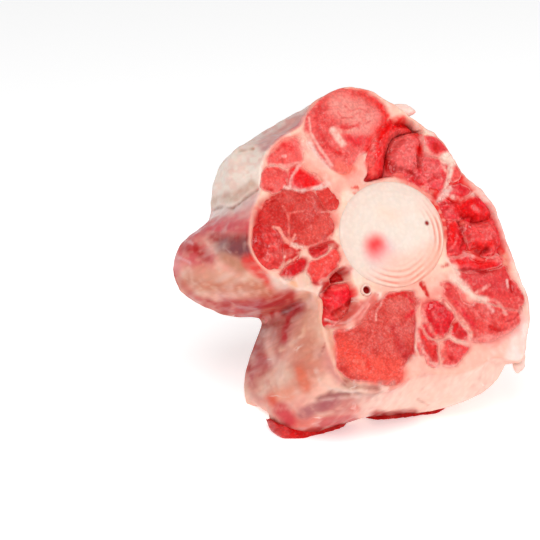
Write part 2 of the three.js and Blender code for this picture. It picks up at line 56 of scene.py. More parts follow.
# %% Axes of the slice
MM = 0.001
LEAN = math.radians(30)
RIGHT = np.array([1, 0, 0])
UP_THE_CUT = np.array([0, math.sin(LEAN), math.cos(LEAN)])
ALONG = np.array([0, math.cos(LEAN), -math.sin(LEAN)])
AXES = np.stack([RIGHT, UP_THE_CUT, ALONG])
BONE_STANDS_OUT = 1.454  # mm that the bone's front end reaches before the cut


def corners_of(mesh):
    """The corners of a mesh as an array of rows"""
    values = np.empty(len(mesh.vertices) * 3)
    mesh.vertices.foreach_get("co", values)
    return values.reshape(-1, 3)


def rows_of(bm):
    """The corners of a bmesh as an array of rows"""
    return np.array([v.co[:] for v in bm.verts])


def outward_of(bm):
    """The directions in which the corners of a bmesh face, along the slice's own axes"""
    return np.array([v.normal[:] for v in bm.verts]) @ AXES.T


turned = corners_of(NODES["vertebra"].data) @ AXES.T
BONE_SIZE = (turned.max(0) - turned.min(0)) / MM / 2
start = (turned.max(0) + turned.min(0)) / 2
start[2] = turned[:, 2].min() + BONE_STANDS_OUT * MM
ORIGIN = start @ AXES
print("middle of the cut bone:", ORIGIN.round(4), "its half sizes in mm:", BONE_SIZE.round(1))


def to_slice(points):
    """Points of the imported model, in metres, as x, y, w of the slice in mm"""
    return (np.asarray(points) - ORIGIN) @ AXES.T / MM


def to_frame(points):
    """The way back from x, y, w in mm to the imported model's own frame"""
    return ORIGIN + np.asarray(points) @ AXES * MM


# %% [markdown]
# ## The camera, the floor and the light
# The photo looks slightly down on the slice from its left, from close by, in soft light on white.
# One broad light above left gives the moist sheen, and a white surround fills the shadows.

# %% Camera
def place_camera(distance=0.8, azimuth=-29, height=20, axis_azimuth=-25.704, axis_down=20.938, lens=151.52):
    """A camera looking at the cut bone from a distance, its own axis turned a little past it"""
    az, el = math.radians(azimuth), math.radians(height)
    back = Vector((math.sin(az) * math.cos(el), -math.cos(az) * math.cos(el), math.sin(el)))
    a0, e0 = math.radians(axis_azimuth), math.radians(axis_down)
    ahead = Vector((-math.sin(a0) * math.cos(e0), math.cos(a0) * math.cos(e0), -math.sin(e0)))
    across = Vector((math.cos(a0), math.sin(a0), 0))
    data = bpy.data.cameras.new("camera")
    data.lens = lens
    data.sensor_width = 36
    camera = bpy.data.objects.new("camera", data)
    camera.matrix_world = Matrix((across, across.cross(ahead), -ahead)).transposed().to_4x4()
    camera.location = Vector(ORIGIN) + back * distance
    bpy.context.scene.collection.objects.link(camera)
    bpy.context.scene.camera = camera
    return camera


camera = place_camera()
print("camera at", [round(x, 3) for x in camera.location])


# %% Points in the picture
PICTURE = 540  # points along each side of the picture


def in_picture(points):
    """Where points given in slice millimetres come out in a picture of 540 by 540 points"""
    local = (to_frame(points) - np.array(camera.location)) @ np.array(camera.matrix_world.to_3x3())
    scale = camera.data.lens / camera.data.sensor_width * PICTURE
    across, up = local[:, 0] / local[:, 2] * scale, local[:, 1] / local[:, 2] * scale
    return np.column_stack([PICTURE / 2 - across, PICTURE / 2 + up])


print("the cut bone is seen at", in_picture(np.zeros((1, 3))).round(1))


# %% Light
def area_light(name, place, size, power):
    """A square soft light that looks at the middle of the slice"""
    data = bpy.data.lights.new(name, "AREA")
    data.size = size
    data.energy = power
    light = bpy.data.objects.new(name, data)
    light.location = place
    light.rotation_euler = (Vector(ORIGIN) - Vector(place)).to_track_quat("-Z", "Y").to_euler()
    bpy.context.scene.collection.objects.link(light)
    return light


def white_surround(strength):
    """An even white world"""
    world = bpy.data.worlds.new("surround")
    world.use_nodes = True
    world.node_tree.nodes["Background"].inputs["Color"].default_value = (1, 1, 1, 1)
    world.node_tree.nodes["Background"].inputs["Strength"].default_value = strength
    bpy.context.scene.world = world


bpy.context.scene.view_settings.view_transform = "Standard"
white_surround(0.37)
area_light("key", (-0.35, -0.45, 0.75), 0.5, 5)
area_light("fill", (0.6, -0.5, 0.4), 0.6, 2.5)


# %% [markdown]
# ## Smooth noise, and distances
# Real meat is never even. One small noise made of random values on a lattice is used for every relief
# and every tint, and always from a fixed seed. Distances to outlines and to drawn lines do the rest.

# %% Noise
LATTICE = 32  # random values along each side of the lattice, after which they repeat


def noise(points, size, seed):
    """Smooth random values between -1 and 1, whose features measure about one size in mm"""
    table = np.random.RandomState(seed).rand(LATTICE, LATTICE, LATTICE) * 2 - 1
    scaled = np.atleast_2d(points) / size
    cell = np.floor(scaled).astype(int)
    part = scaled - cell
    part = part * part * (3 - 2 * part)
    total = np.zeros(len(scaled))
    for corner in np.ndindex(2, 2, 2):
        share = np.prod(np.where(corner, part, 1 - part), axis=1)
        at = (cell + corner) % LATTICE
        total += share * table[at[:, 0], at[:, 1], at[:, 2]]
    return total


def rough(points, size, seed, layers=3):
    """Noise in layers, each half the size and half the height of the one before"""
    return sum(noise(points, size / 2**k, seed + k) / 2**k for k in range(layers)) / 1.6


def smoothstep(low, high, value):
    """0 up to a low value, 1 from a high value on, and a smooth rise between them"""
    t = np.clip((value - low) / (high - low), 0, 1)
    return t * t * (3 - 2 * t)


def bell(value, middle, width):
    """1 at a middle value, falling off smoothly on both sides of it"""
    return np.exp(-(((value - middle) / width) ** 2))


def in_space(xy, side, apart):
    """Points of a cut in space, with the back cut set apart so that its noise is its own"""
    return np.column_stack([xy, np.full(len(xy), apart if side == "back" else 0)])


print("noise at the middle of a lattice cell:", noise([(0.5, 0.5, 0.5)], 1, 1).round(2))


# %% Distances
def inside_distance(points, loop):
    """Distance in mm from points to a closed outline, positive inside it"""
    a, b = loop, np.roll(loop, -1, axis=0)
    side = b - a
    result = np.empty(len(points))
    for first in range(0, len(points), 4000):
        p = points[first:first + 4000, None]
        t = np.clip(((p - a) * side).sum(2) / (side * side).sum(1), 0, 1)
        near = np.linalg.norm(p - a - t[:, :, None] * side, axis=2).min(1)
        over = (a[:, 1] > p[:, :, 1]) != (b[:, 1] > p[:, :, 1])
        rise = np.where(np.abs(side[:, 1]) < 1e-9, 1e-9, side[:, 1])
        left = p[:, :, 0] < a[:, 0] + (p[:, :, 1] - a[:, 1]) * side[:, 0] / rise
        inside = (over & left).sum(1) % 2 == 1
        result[first:first + 4000] = np.where(inside, near, -near)
    return result


def line_distance(points, line):
    """Distance in mm from points to a drawn line"""
    line = np.asarray(line, float)
    if len(line) == 1:
        return np.linalg.norm(points - line[0], axis=1)
    best = np.full(len(points), np.inf)
    for a, b in zip(line[:-1], line[1:]):
        side = b - a
        t = np.clip((points - a) @ side / (side @ side), 0, 1)
        best = np.minimum(best, np.linalg.norm(points - a - t[:, None] * side, axis=1))
    return best


CORNERS = np.array([(-1, -1), (1, -1), (1, 1), (-1, 1)])
print("from the middle of a square to its edge:", inside_distance(np.zeros((1, 2)), CORNERS))


# %% [markdown]
# ## Outlines of the bundles
# Each packed bundle runs from cut to cut. The corners where its sides start at the front cut, and where
# they end at the back cut, are read from it in order, and a smooth line through them is its outline.

# %% Read the outlines
def merged_copy(name):
    """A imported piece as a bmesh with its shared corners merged"""
    bm = bmesh.new()
    bm.from_mesh(NODES[name].data)
    bmesh.ops.remove_doubles(bm, verts=bm.verts, dist=0.01 * MM)
    bm.verts.index_update()
    return bm


SIDES_FROM, SIDES_TO = 10, 40  # depths in mm that the long sides of every bundle pass


def ring_beside(name, depth, behind):
    """The corners of a bundle just before or behind a depth, in order and anticlockwise"""
    bm = merged_copy(name)
    place = to_slice(rows_of(bm))
    found = set()
    for edge in bm.edges:
        low, high = sorted((v.index for v in edge.verts), key=lambda i: place[i, 2])
        if place[low, 2] < depth < place[high, 2]:
            found.add(high if behind else low)
    bm.verts.ensure_lookup_table()
    order = [min(found)]
    while True:
        beside = [e.other_vert(bm.verts[order[-1]]).index for e in bm.verts[order[-1]].link_edges]
        free = sorted(i for i in beside if i in found and i not in order)
        if not free:
            break
        order.append(free[0])
    bm.free()
    ring = place[order]
    after = np.roll(ring, -1, axis=0)
    area = (ring[:, 0] * after[:, 1] - after[:, 0] * ring[:, 1]).sum()
    reach = place[:, 2].max() if behind else place[:, 2].min()
    return (ring if area > 0 else ring[::-1]), reach


def rounded(ring, steps=5):
    """Points on the smooth closed line through a ring"""
    a, b, c, d = (np.roll(ring, 1 - k, axis=0)[:, None] for k in range(4))
    t = (np.arange(steps) / steps)[None, :, None]
    curve = 2 * b + (c - a) * t + (2 * a - 5 * b + 4 * c - d) * t**2 + (3 * (b - c) + d - a) * t**3
    return (curve / 2).reshape(-1, ring.shape[1])


def level_of(ring):
    """The flat plane through a ring, as three numbers: at the middle of the bone, per mm of x, and of y"""
    sides = np.column_stack([np.ones(len(ring)), ring[:, :2]])
    return np.linalg.lstsq(sides, ring[:, 2], rcond=None)[0]


def at_level(level, x, y):
    """The depth of a plane at a place"""
    return level[0] + level[1] * x + level[2] * y


def aligned(ring, model):
    """A ring started at the corner that answers to the first corner of another ring"""
    own, other = ring[:, :2] - ring[:, :2].mean(0), model[:, :2] - model[:, :2].mean(0)
    misses = [((np.roll(own, k, axis=0) - other) ** 2).sum() for k in range(len(ring))]
    return np.roll(ring, int(np.argmin(misses)), axis=0)


BUNDLES = {}
for name in sorted(NODES):
    if name.startswith(MEAT_PREFIX) and "foot" not in name:
        front, front_reach = ring_beside(name, SIDES_FROM, behind=False)
        back, back_reach = ring_beside(name, SIDES_TO, behind=True)
        back = aligned(back, front)
        middle = front.mean(0)
        BUNDLES[name.removeprefix(MEAT_PREFIX)] = {
            "front": front, "back": back,
            "outline": {"front": rounded(front[:, :2]), "back": rounded(back[:, :2])},
            "level": {"front": level_of(front), "back": level_of(back)},
            "dome": {
                "front": at_level(level_of(front), *middle[:2]) - front_reach,
                "back": back_reach - at_level(level_of(back), *back.mean(0)[:2]),
            },
        }
print("bundles:", len(BUNDLES), "corners in an outline:", [len(b["front"]) for b in BUNDLES.values()])

# %% [markdown]
# ## Where meat ends and fat begins
# In the real slice the bundles press against each other with only thin webs between them. So a bundle's
# visible edge may grow past its packed outline towards a neighbour, and stops short of the middle
# between the two. The value below is the distance in mm into a bundle, negative in the fat.

# %% Edges of the meat
# For each bundle: kind of meat, how far it grows, width of the web beside it (both in mm), share of the
# pale film at its edge, and its colour.
MEAT = {
    "crown": ("salmon", 1.0, 0.5, 0.6, (238, 96, 92)),
    "pocket_wall": ("crimson", 2.0, 0.15, 0.15, (240, 60, 64)),
    "pocket_lump": ("crimson", 2.0, 0.15, 0.15, (236, 84, 86)),
    "shoulder_upper": ("salmon", 1.2, 0.3, 0.6, (238, 74, 78)),
    "shoulder_lower": ("crimson", 2.2, 0.2, 0.15, (240, 78, 84)),
    "sliver": ("salmon", 0.8, 0.34, 0.6, (240, 90, 86)),
    "bead": ("salmon", 1.2, 0.5, 0.6, (235, 70, 75)),
    "rib_inner": ("crimson", 2.0, 0.2, 0.15, (236, 66, 72)),
    "rib_outer": ("crimson", 2.0, 0.2, 0.15, (232, 38, 54)),
    "flank": ("crimson", 2.2, 0.15, 0.15, (240, 70, 72)),
    "flank_inner": ("crimson", 2.2, 0.15, 0.15, (230, 28, 44)),
    "flank_band": ("salmon", 1.6, 0.2, 0.6, (238, 56, 64)),
    "haunch_upper": ("salmon", 1.6, 0.25, 0.6, (229, 70, 70)),
    "haunch_lower": ("salmon", 1.6, 0.3, 0.6, (236, 84, 80)),
    "drop_a": ("crimson", 1.2, 0.45, 0.6, (226, 48, 56)),
    "drop_b": ("crimson", 1.4, 0.45, 0.6, (232, 52, 58)),
    "drop_c": ("crimson", 1.2, 0.4, 0.6, (236, 78, 76)),
    "drop_d": ("salmon", 1.6, 0.45, 0.6, (236, 76, 76)),
    "keel": ("granular", 1.2, 0.45, 0.6, (222, 84, 76)),
    "hollow_lump": ("crimson", 1.0, 0.34, 0.6, (236, 60, 62)),
    "hollow_tip": ("crimson", 1.0, 0.34, 0.6, (190, 30, 36)),
    "wing_main": ("granular", 1.2, 0.12, 0.0, (212, 66, 60)),
    "wing_back": ("granular", 1.2, 0.12, 0.0, (216, 62, 58)),
    "wing_low": ("crimson", 1.2, 0.15, 0.0, (224, 64, 62)),
    "wing_bead": ("granular", 0.9, 0.25, 0.0, (222, 66, 62)),
    "wing_drop": ("crimson", 0.6, 0.4, 0.6, (214, 54, 56)),
    "wedge": ("crimson", 0.6, 0.4, 0.6, (222, 44, 50)),
    "saddle": ("salmon", 1.1, 0.34, 0.6, (240, 78, 73)),
    "wing_tip": ("granular", 1.4, 0.3, 0.0, (222, 70, 64)),
    "ridge_a": ("salmon", 1.1, 0.34, 0.6, (243, 100, 95)),
    "ridge_b": ("salmon", 1.1, 0.34, 0.6, (240, 90, 85)),
    "ridge_c": ("salmon", 1.1, 0.34, 0.6, (236, 66, 70)),
}
MEAT = {name: dict(zip(("kind", "grow", "web", "film", "tone"), row)) for name, row in MEAT.items()}
FAR = 8.0  # mm outside an outline, past which distances are no longer worked out
GROWS_TOWARDS = (-4.5, -2.2)  # mm to the next bundle where growing starts, and where it is full
turn = np.linspace(0, 2 * math.pi, 120, endpoint=False)
DISC = np.column_stack([BONE_SIZE[0] * np.cos(turn), BONE_SIZE[1] * np.sin(turn)])


def wobbled(xy, side):
    """Points of the cut, moved a little at random, which makes every outline uneven"""
    flat = in_space(xy, side, 40)
    move = [0.42 * noise(flat, 3.4, seed) + 0.16 * noise(flat, 1.2, seed + 2) for seed in (11, 21)]
    return xy + np.column_stack(move)


def distances(xy, side):
    """For each bundle, then the bone and what is outside the skin, how far inside it each point lies"""
    loops = [b["outline"][side] for b in BUNDLES.values()] + [DISC]
    table = np.full((len(loops) + 1, len(xy)), -FAR)
    for row, loop in zip(table, loops):
        near = np.all((xy > loop.min(0) - FAR) & (xy < loop.max(0) + FAR), axis=1)
        if near.any():
            row[near] = np.maximum(inside_distance(xy[near], loop), -FAR)
    table[-1] = np.maximum(-to_skin(xy, side), -FAR)
    return table


def meat_depth(table, index):
    """How far inside the grown edge of one bundle each point lies"""
    meat = MEAT[list(BUNDLES)[index]]
    own, other = table[index], np.delete(table[:-1], index, axis=0).max(0)
    grown = own + np.maximum(meat["grow"] * smoothstep(*GROWS_TOWARDS, other), smoothstep(-6, -3, table[-1]))
    return np.minimum(grown, (own - other) / 2 - meat["web"])


# %% [markdown]
# ## Skin of the slice
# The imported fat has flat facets. Rays shot at it from all round give how far its skin reaches at every
# angle and depth. Averaging these reaches takes the facets out and keeps the folds, and the loose ends
# of fat are left out here because they are pieces of their own.

# %% Reach of the skin
ANGLES = 540
DEPTHS = np.arange(3.5, 61, 1.0)
RAY_FROM = 100  # mm from the bone's line, outside everything
NEAREST_SKIN = 24  # mm; a ray that gets further in has slipped past the skin
BLUR_ROUND, BLUR_ALONG = 3.6, 1.8  # width of the averaging round the tail and along it, in cells
FEET_NODES = ("muscle_foot_left", "muscle_foot_right")
TAG_WINDOWS = [(58, 74, 9)]  # degrees from and to, and the depth that a loose end takes


def packed_tree(names):
    """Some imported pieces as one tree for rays, in slice millimetres"""
    bm = bmesh.new()
    for name in names:
        bm.from_mesh(NODES[name].data)
    for vert in bm.verts:
        vert.co = Vector(to_slice(vert.co[:]))
    tree = BVHTree.FromBMesh(bm)
    bm.free()
    return tree


def skin_table():
    """The skin's reach for each angle and depth"""
    tree = packed_tree(("fat_upper", "fat_lobe", "fat_lower") + FEET_NODES)
    reach = np.full((ANGLES, len(DEPTHS)), np.nan)
    for i in range(ANGLES):
        angle = 2 * math.pi * i / ANGLES
        out = Vector((math.cos(angle), math.sin(angle), 0))
        for k, w in enumerate(DEPTHS):
            hit = tree.ray_cast(out * RAY_FROM + Vector((0, 0, w)), -out)
            if hit[0] is not None and hit[0].xy.length > NEAREST_SKIN:
                reach[i, k] = hit[0].xy.length
    return reach


def without_tags(reach):
    """The table with the loose ends of fat bridged over, and every gap filled from its neighbours"""
    step = 360 / ANGLES
    for low, high, depth in TAG_WINDOWS:
        rows = np.arange(int(low / step), int(high / step))
        for k in np.where(DEPTHS < depth)[0]:
            ends = reach[rows[0] % ANGLES, k], reach[rows[-1] % ANGLES, k]
            reach[rows % ANGLES, k] = np.linspace(*ends, len(rows))
    for i in range(ANGLES):
        row = reach[i]
        known = ~np.isnan(row)
        row[~known] = np.interp(DEPTHS[~known], DEPTHS[known], row[known])
    return reach


def averaged(table, width, axis, wraps):
    """A table averaged over a bell of a width, in cells, along one axis"""
    reach = int(3 * width)
    weights = np.exp(-0.5 * (np.arange(-reach, reach + 1) / width) ** 2)
    pad = [(reach, reach) if k == axis else (0, 0) for k in range(2)]
    padded = np.pad(table, pad, mode="wrap" if wraps else "edge")
    weights /= weights.sum()
    return np.apply_along_axis(lambda line: np.convolve(line, weights, "valid"), axis, padded)


REACH = without_tags(skin_table())
REACH = averaged(averaged(REACH, BLUR_ROUND, 0, True), BLUR_ALONG, 1, False)
degrees = (np.arange(ANGLES) * 360 / ANGLES + 180) % 360 - 180
HOLLOW_BEHIND_FLAP = 3.2 * np.outer(bell(degrees, -46, 7), bell(DEPTHS, 17, 7))
REACH -= HOLLOW_BEHIND_FLAP
print("skin reaches from", REACH.min().round(1), "to", REACH.max().round(1), "mm")


def skin_reach(angle, w):
    """The reach of the smooth skin at angles in radians and depths in mm"""
    column = (angle / (2 * math.pi) * ANGLES) % ANGLES
    i = column.astype(int)
    s = column - i
    depth = np.clip((w - DEPTHS[0]) / (DEPTHS[1] - DEPTHS[0]), 0, len(DEPTHS) - 1.001)
    k = depth.astype(int)
    t = depth - k
    low = REACH[i % ANGLES, k] * (1 - s) + REACH[(i + 1) % ANGLES, k] * s
    high = REACH[i % ANGLES, k + 1] * (1 - s) + REACH[(i + 1) % ANGLES, k + 1] * s
    value = low * (1 - t) + high * t
    slope = (REACH[i % ANGLES, 3] - REACH[i % ANGLES, 0]) / 3
    return value + np.minimum(w - DEPTHS[0], 0) * slope


# %% [markdown]
# ## The two cuts
# The knife left two nearly flat faces. The fat's own level on each is worked out here, and rounded off
# where it meets the skin. Both the fat and the meat are set by it: meat starts at that level at its
# edge, then swells out of it, or sinks into a hollow. All values are in mm.

# %% Levels of the cuts
FAT_LEVEL = 0.9  # depth of the fat on the front cut
BACK_CUT = 62.1  # depth of the back cut at the height of the bone's middle
BACK_LEAN = -0.09  # how much deeper it is per mm further up
RIM = 1.6  # radius of the edge between cut and skin
HOLLOW_BELOW = 2.0  # how far the fat drops away under the meat
SKIN_OVER_MEAT = 0.45  # the least thickness of skin beside meat
READ_AT = {"front": 2.5, "back": 59.0}  # depths where the skin's reach beside each cut is read
SIGN = {"front": -1, "back": 1}


def flat_level(xy, side):
    """Depth of the plain cut through the fat"""
    return np.full(len(xy), FAT_LEVEL) if side == "front" else BACK_CUT + BACK_LEAN * xy[:, 1]


def to_skin(xy, side):
    """Distance in mm from points of a cut to the skin round it"""
    angle = np.arctan2(xy[:, 1], xy[:, 0])
    return skin_reach(angle, np.full(len(xy), READ_AT[side])) - np.linalg.norm(xy, axis=1)


def cut_level(xy, side):
    """Depth of the cut through the fat, rounded off towards the skin"""
    beyond = np.clip(RIM - to_skin(xy, side), 0, RIM)
    return flat_level(xy, side) - SIGN[side] * (RIM - np.sqrt(RIM**2 - beyond**2))


def bundle_level(name, xy, side):
    """Depth of the flat of one bundle"""
    return at_level(BUNDLES[name]["level"][side], xy[:, 0], xy[:, 1])


def edges_of_meat(xy, side):
    """How far inside meat each point of a cut is, and the depth of that meat's flat"""
    place = wobbled(xy, side)
    table = distances(place, side)
    best = np.full(len(xy), -FAR)
    level = flat_level(xy, side)
    for index, name in enumerate(BUNDLES):
        depth = meat_depth(table, index)
        level = np.where(depth > best, bundle_level(name, xy, side), level)
        best = np.maximum(best, depth)
    return np.minimum(best, to_skin(xy, side) - SKIN_OVER_MEAT), level, table


ARTERY_BOX = to_slice(corners_of(NODES["artery"].data))
ARTERY_AT = (ARTERY_BOX.max(0) + ARTERY_BOX.min(0)) / 2


def artery_hollow(xy):
    """How far the fat gives way for the artery"""
    return 4.5 * smoothstep(2.0, 1.6, np.linalg.norm(xy - ARTERY_AT[:2], axis=1))


for side in ("front", "back"):
    print(side, {n: (round(float(bundle_level(n, b[side][:, :2].mean(0)[None], side)[0]), 1),
                     round(float(b["dome"][side]), 1)) for n, b in BUNDLES.items()})


# %% [markdown]
# ## Tints
# Meat and fat change colour from place to place: a bruise, a bloody edge, a streak of membrane. Each
# piece carries such tints on its corners as an attribute, painted here with a few soft strokes, and the
# material adds the fine grain over it.

# %% Paint
SHEEN = 0.018  # light that the wet film adds to every colour
LIGHT = 1.11  # how much light falls on the cut


def linear(colour):
    """The base colour, in linear light, that comes out as a display colour from 0 to 255"""
    value = np.asarray(colour, float) / 255
    value = np.where(value < 0.04045, value / 12.92, ((value + 0.055) / 1.055) ** 2.4)
    return np.maximum(value - SHEEN, 0.002) / LIGHT


def paint(tint, mask, colour):
    """A colour laid over a tint where the mask says so"""
    mask = np.clip(mask, 0, 1)[:, None]
    tint[:] = tint * (1 - mask) + linear(colour) * mask


def stroke(points, line, width, soft=0.5, ragged=0.35, seed=70, worn=0.0):
    """A mask along a drawn line: full inside its width, soft and ragged at its edge, and worn in places"""
    line = np.asarray(line, float)
    near = np.all((points > line.min(0) - width - 4) & (points < line.max(0) + width + 4), axis=1)
    mask = np.zeros(len(points))
    if near.any():
        place = points[near]
        flat = np.pad(place, ((0, 0), (0, 3 - place.shape[1])))
        away = line_distance(place, line) + ragged * width * noise(flat, 1.7 * width + 0.4, seed)
        mask[near] = 1 - smoothstep(width / 2 - soft, width / 2 + soft, away)
        mask[near] *= 1 - worn * smoothstep(-0.1, 0.6, noise(flat, 4, seed + 40))
    return mask


def retouch(points, tint, strokes, share=1.0):
    """Lays strokes over a tint where the picture shows them, and gives how deep they press in, in mm"""
    seen = in_picture(points)
    sink = np.zeros(len(points))
    for seed, (line, width, soft, colour, strength, *press) in enumerate(strokes):
        worn = 0.6 if width < 7 else 0.3  # a thin line is broken in more places
        mask = stroke(seen, line, width, soft, 0.3, 200 + seed, worn) * share
        paint(tint, mask * strength, colour)
        sink += mask * sum(press)
    return sink


print("base colour of a middle red:", linear((238, 74, 78)).round(3))


def make_piece(name, bm, tint, material, nodes):
    """An object from a bmesh whose corners are already in the model's frame"""
    mesh = bpy.data.meshes.new(name)
    bm.to_mesh(mesh)
    bm.free()
    mesh.shade_smooth()
    layer = mesh.attributes.new("tint", "FLOAT_COLOR", "POINT")
    colours = np.ones((len(mesh.vertices), 4))
    colours[:, :3] = tint
    layer.data.foreach_set("color", colours.ravel())
    mesh.materials.append(material)
    piece = bpy.data.objects.new(name, mesh)
    bpy.context.scene.collection.objects.link(piece)
    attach(piece, "root")
    if nodes:
        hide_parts(*nodes)
    return piece


def place_corners(bm, points):
    """Move every corner to its place in slice mm, but never below the floor, and turn the faces out"""
    place = to_frame(points)
    place[:, 2] = np.maximum(place[:, 2], 0)
    for vert, co in zip(bm.verts, place):
        vert.co = co
    bm.normal_update()
    bmesh.ops.recalc_face_normals(bm, faces=bm.faces)
    if bm.calc_volume(signed=True) < 0:
        bmesh.ops.reverse_faces(bm, faces=bm.faces)
    bm.normal_update()


# %% [markdown]
# ## Strokes
# What makes this slice itself is the colour of each spot: a bloody fold, a vein, a bruise under the
# membrane. Each is one soft stroke. It is drawn where it is seen in the picture, which is easiest to
# judge, and kept on the corners of the mesh, so that it stays on the meat from every side. The
# numbers are: the line, its width and softness in picture points, its colour and strength, and, where
# it presses in or stands out, by how many mm.

# %% Webs of fat between the bundles of the right side
WEB_STROKES = [
    ([(394, 154), (412, 168), (440, 178)], 46, 8, (232, 14, 28), 0.92),
    ([(446, 208), (465, 222), (480, 240)], 58, 9, (228, 10, 26), 0.94),
    ([(462, 262), (480, 266), (500, 268)], 22, 5, (232, 24, 36), 0.9),
    ([(450, 288), (470, 310), (490, 325)], 34, 8, (242, 110, 104), 0.8),
    ([(436, 300), (425, 330), (440, 362), (465, 345)], 16, 5, (250, 150, 136), 0.85),
    ([(270, 215), (268, 240), (278, 255)], 26, 6, (216, 60, 56), 0.95),
    ([(285, 205), (300, 205), (320, 205)], 26, 6, (216, 66, 60), 0.9),
    ([(285, 225), (288, 235)], 14, 5, (216, 66, 60), 0.9),
    ([(338, 150), (352, 172)], 24, 8, (250, 150, 138), 0.6),
    ([(384, 175), (396, 174), (408, 179)], 7, 3, (243, 104, 98), 0.9),
    ([(326, 316), (330, 335), (333, 350), (337, 366), (345, 380)], 10, 4, (224, 152, 130), 0.9),
    ([(518, 326), (520, 345), (515, 362)], 17, 6, (252, 228, 220), 0.8),
    ([(338, 186), (334, 205), (333, 225)], 9, 4, (243, 160, 146), 0.8),
    ([(420, 288), (436, 290)], 22, 7, (250, 165, 150), 0.7),
    ([(505, 290), (520, 320), (500, 336)], 14, 5, (250, 165, 155), 0.6),
    ([(430, 130), (455, 158), (482, 192), (499, 218), (512, 252), (524, 288), (529, 312)],
     9, 4, (250, 214, 202), 0.85),
]
print("strokes on the webs:", len(WEB_STROKES))

# %% Strokes on the upper part of the cut
CROWN_STROKES = [
    ([(322, 102), (345, 92), (364, 93), (380, 106)], 8, 3, (238, 66, 62), 0.8),
    ([(340, 94), (352, 96)], 9, 3, (242, 44, 50), 0.9),
    ([(379, 106), (387, 115), (380, 127), (371, 139), (368, 150)], 8, 2.5, (236, 14, 24), 0.95),
    ([(340, 104), (352, 113), (362, 120)], 26, 9, (244, 158, 146), 0.75),
    ([(338, 112), (342, 118), (352, 117), (360, 112)], 1.6, 1, (216, 60, 60), 0.6, 0.1),
    ([(345, 106), (351, 111), (360, 108), (368, 112)], 1.6, 1, (220, 66, 64), 0.6, 0.1),
    ([(346, 124), (356, 121), (364, 125), (370, 121)], 1.6, 1, (216, 60, 60), 0.6, 0.1),
    ([(341, 127), (350, 128), (358, 125)], 4, 2, (224, 56, 58), 0.8),
    ([(349, 138), (356, 143), (363, 140)], 8, 3, (226, 50, 56), 0.85),
    ([(316, 112), (318, 128), (327, 144), (337, 156)], 3, 2, (216, 56, 58), 0.7, 0.15),
    ([(326, 106), (324, 122), (331, 138)], 4, 2, (226, 66, 66), 0.6),
    ([(333, 130), (338, 137), (343, 144)], 7, 2, (252, 204, 188), 0.85),
    ([(336, 131), (347, 132), (355, 130)], 4, 2, (249, 170, 154), 0.6),
    ([(337, 152), (340, 153)], 5, 2, (218, 26, 32), 0.8),
    ([(346, 154), (348, 156)], 4, 2, (222, 30, 36), 0.8),
    ([(338, 164), (347, 171), (353, 170)], 10, 4, (252, 122, 104), 0.8),
    ([(309, 118), (311, 134), (321, 150), (332, 166)], 2.6, 1, (251, 190, 178), 0.7),
    ([(369, 163), (373, 172)], 6, 2.5, (242, 96, 86), 0.8),
    ([(352, 188), (357, 187)], 3, 1, (226, 70, 60), 0.85),
    ([(354, 193), (358, 190)], 2, 1, (220, 60, 54), 0.8),
    ([(284, 145), (291, 148)], 9, 4, (238, 48, 50), 0.8),
    ([(283, 156), (285, 156)], 2.2, 1, (255, 220, 210), 0.9),
    ([(272, 150), (283, 140), (300, 134)], 4, 2, (251, 146, 132), 0.8),
    ([(306, 140), (308, 150), (312, 159)], 11, 4, (253, 190, 172), 0.9),
    ([(309, 142), (319, 157), (331, 170)], 5, 2, (252, 208, 198), 0.8),
    ([(271, 165), (285, 166), (298, 163)], 3, 1.2, (252, 172, 160), 0.9),
    ([(285, 172), (287, 184)], 5, 2, (228, 34, 44), 0.85),
    ([(264, 187), (272, 190)], 2.2, 1, (190, 12, 26), 0.85, 0.2),
    ([(281, 190), (286, 190)], 2.2, 1, (190, 12, 26), 0.85, 0.2),
    ([(297, 171), (304, 178), (311, 184)], 11, 3, (238, 20, 40), 0.95),
    ([(307, 166), (318, 174), (326, 181)], 9, 3, (252, 168, 150), 0.9),
    ([(290, 186), (292, 176), (299, 166)], 3, 1.2, (252, 186, 176), 0.8),
    ([(285, 187), (300, 190), (318, 188), (329, 183)], 4, 1.5, (252, 206, 196), 0.85),
]
print("strokes on the upper part:", len(CROWN_STROKES))

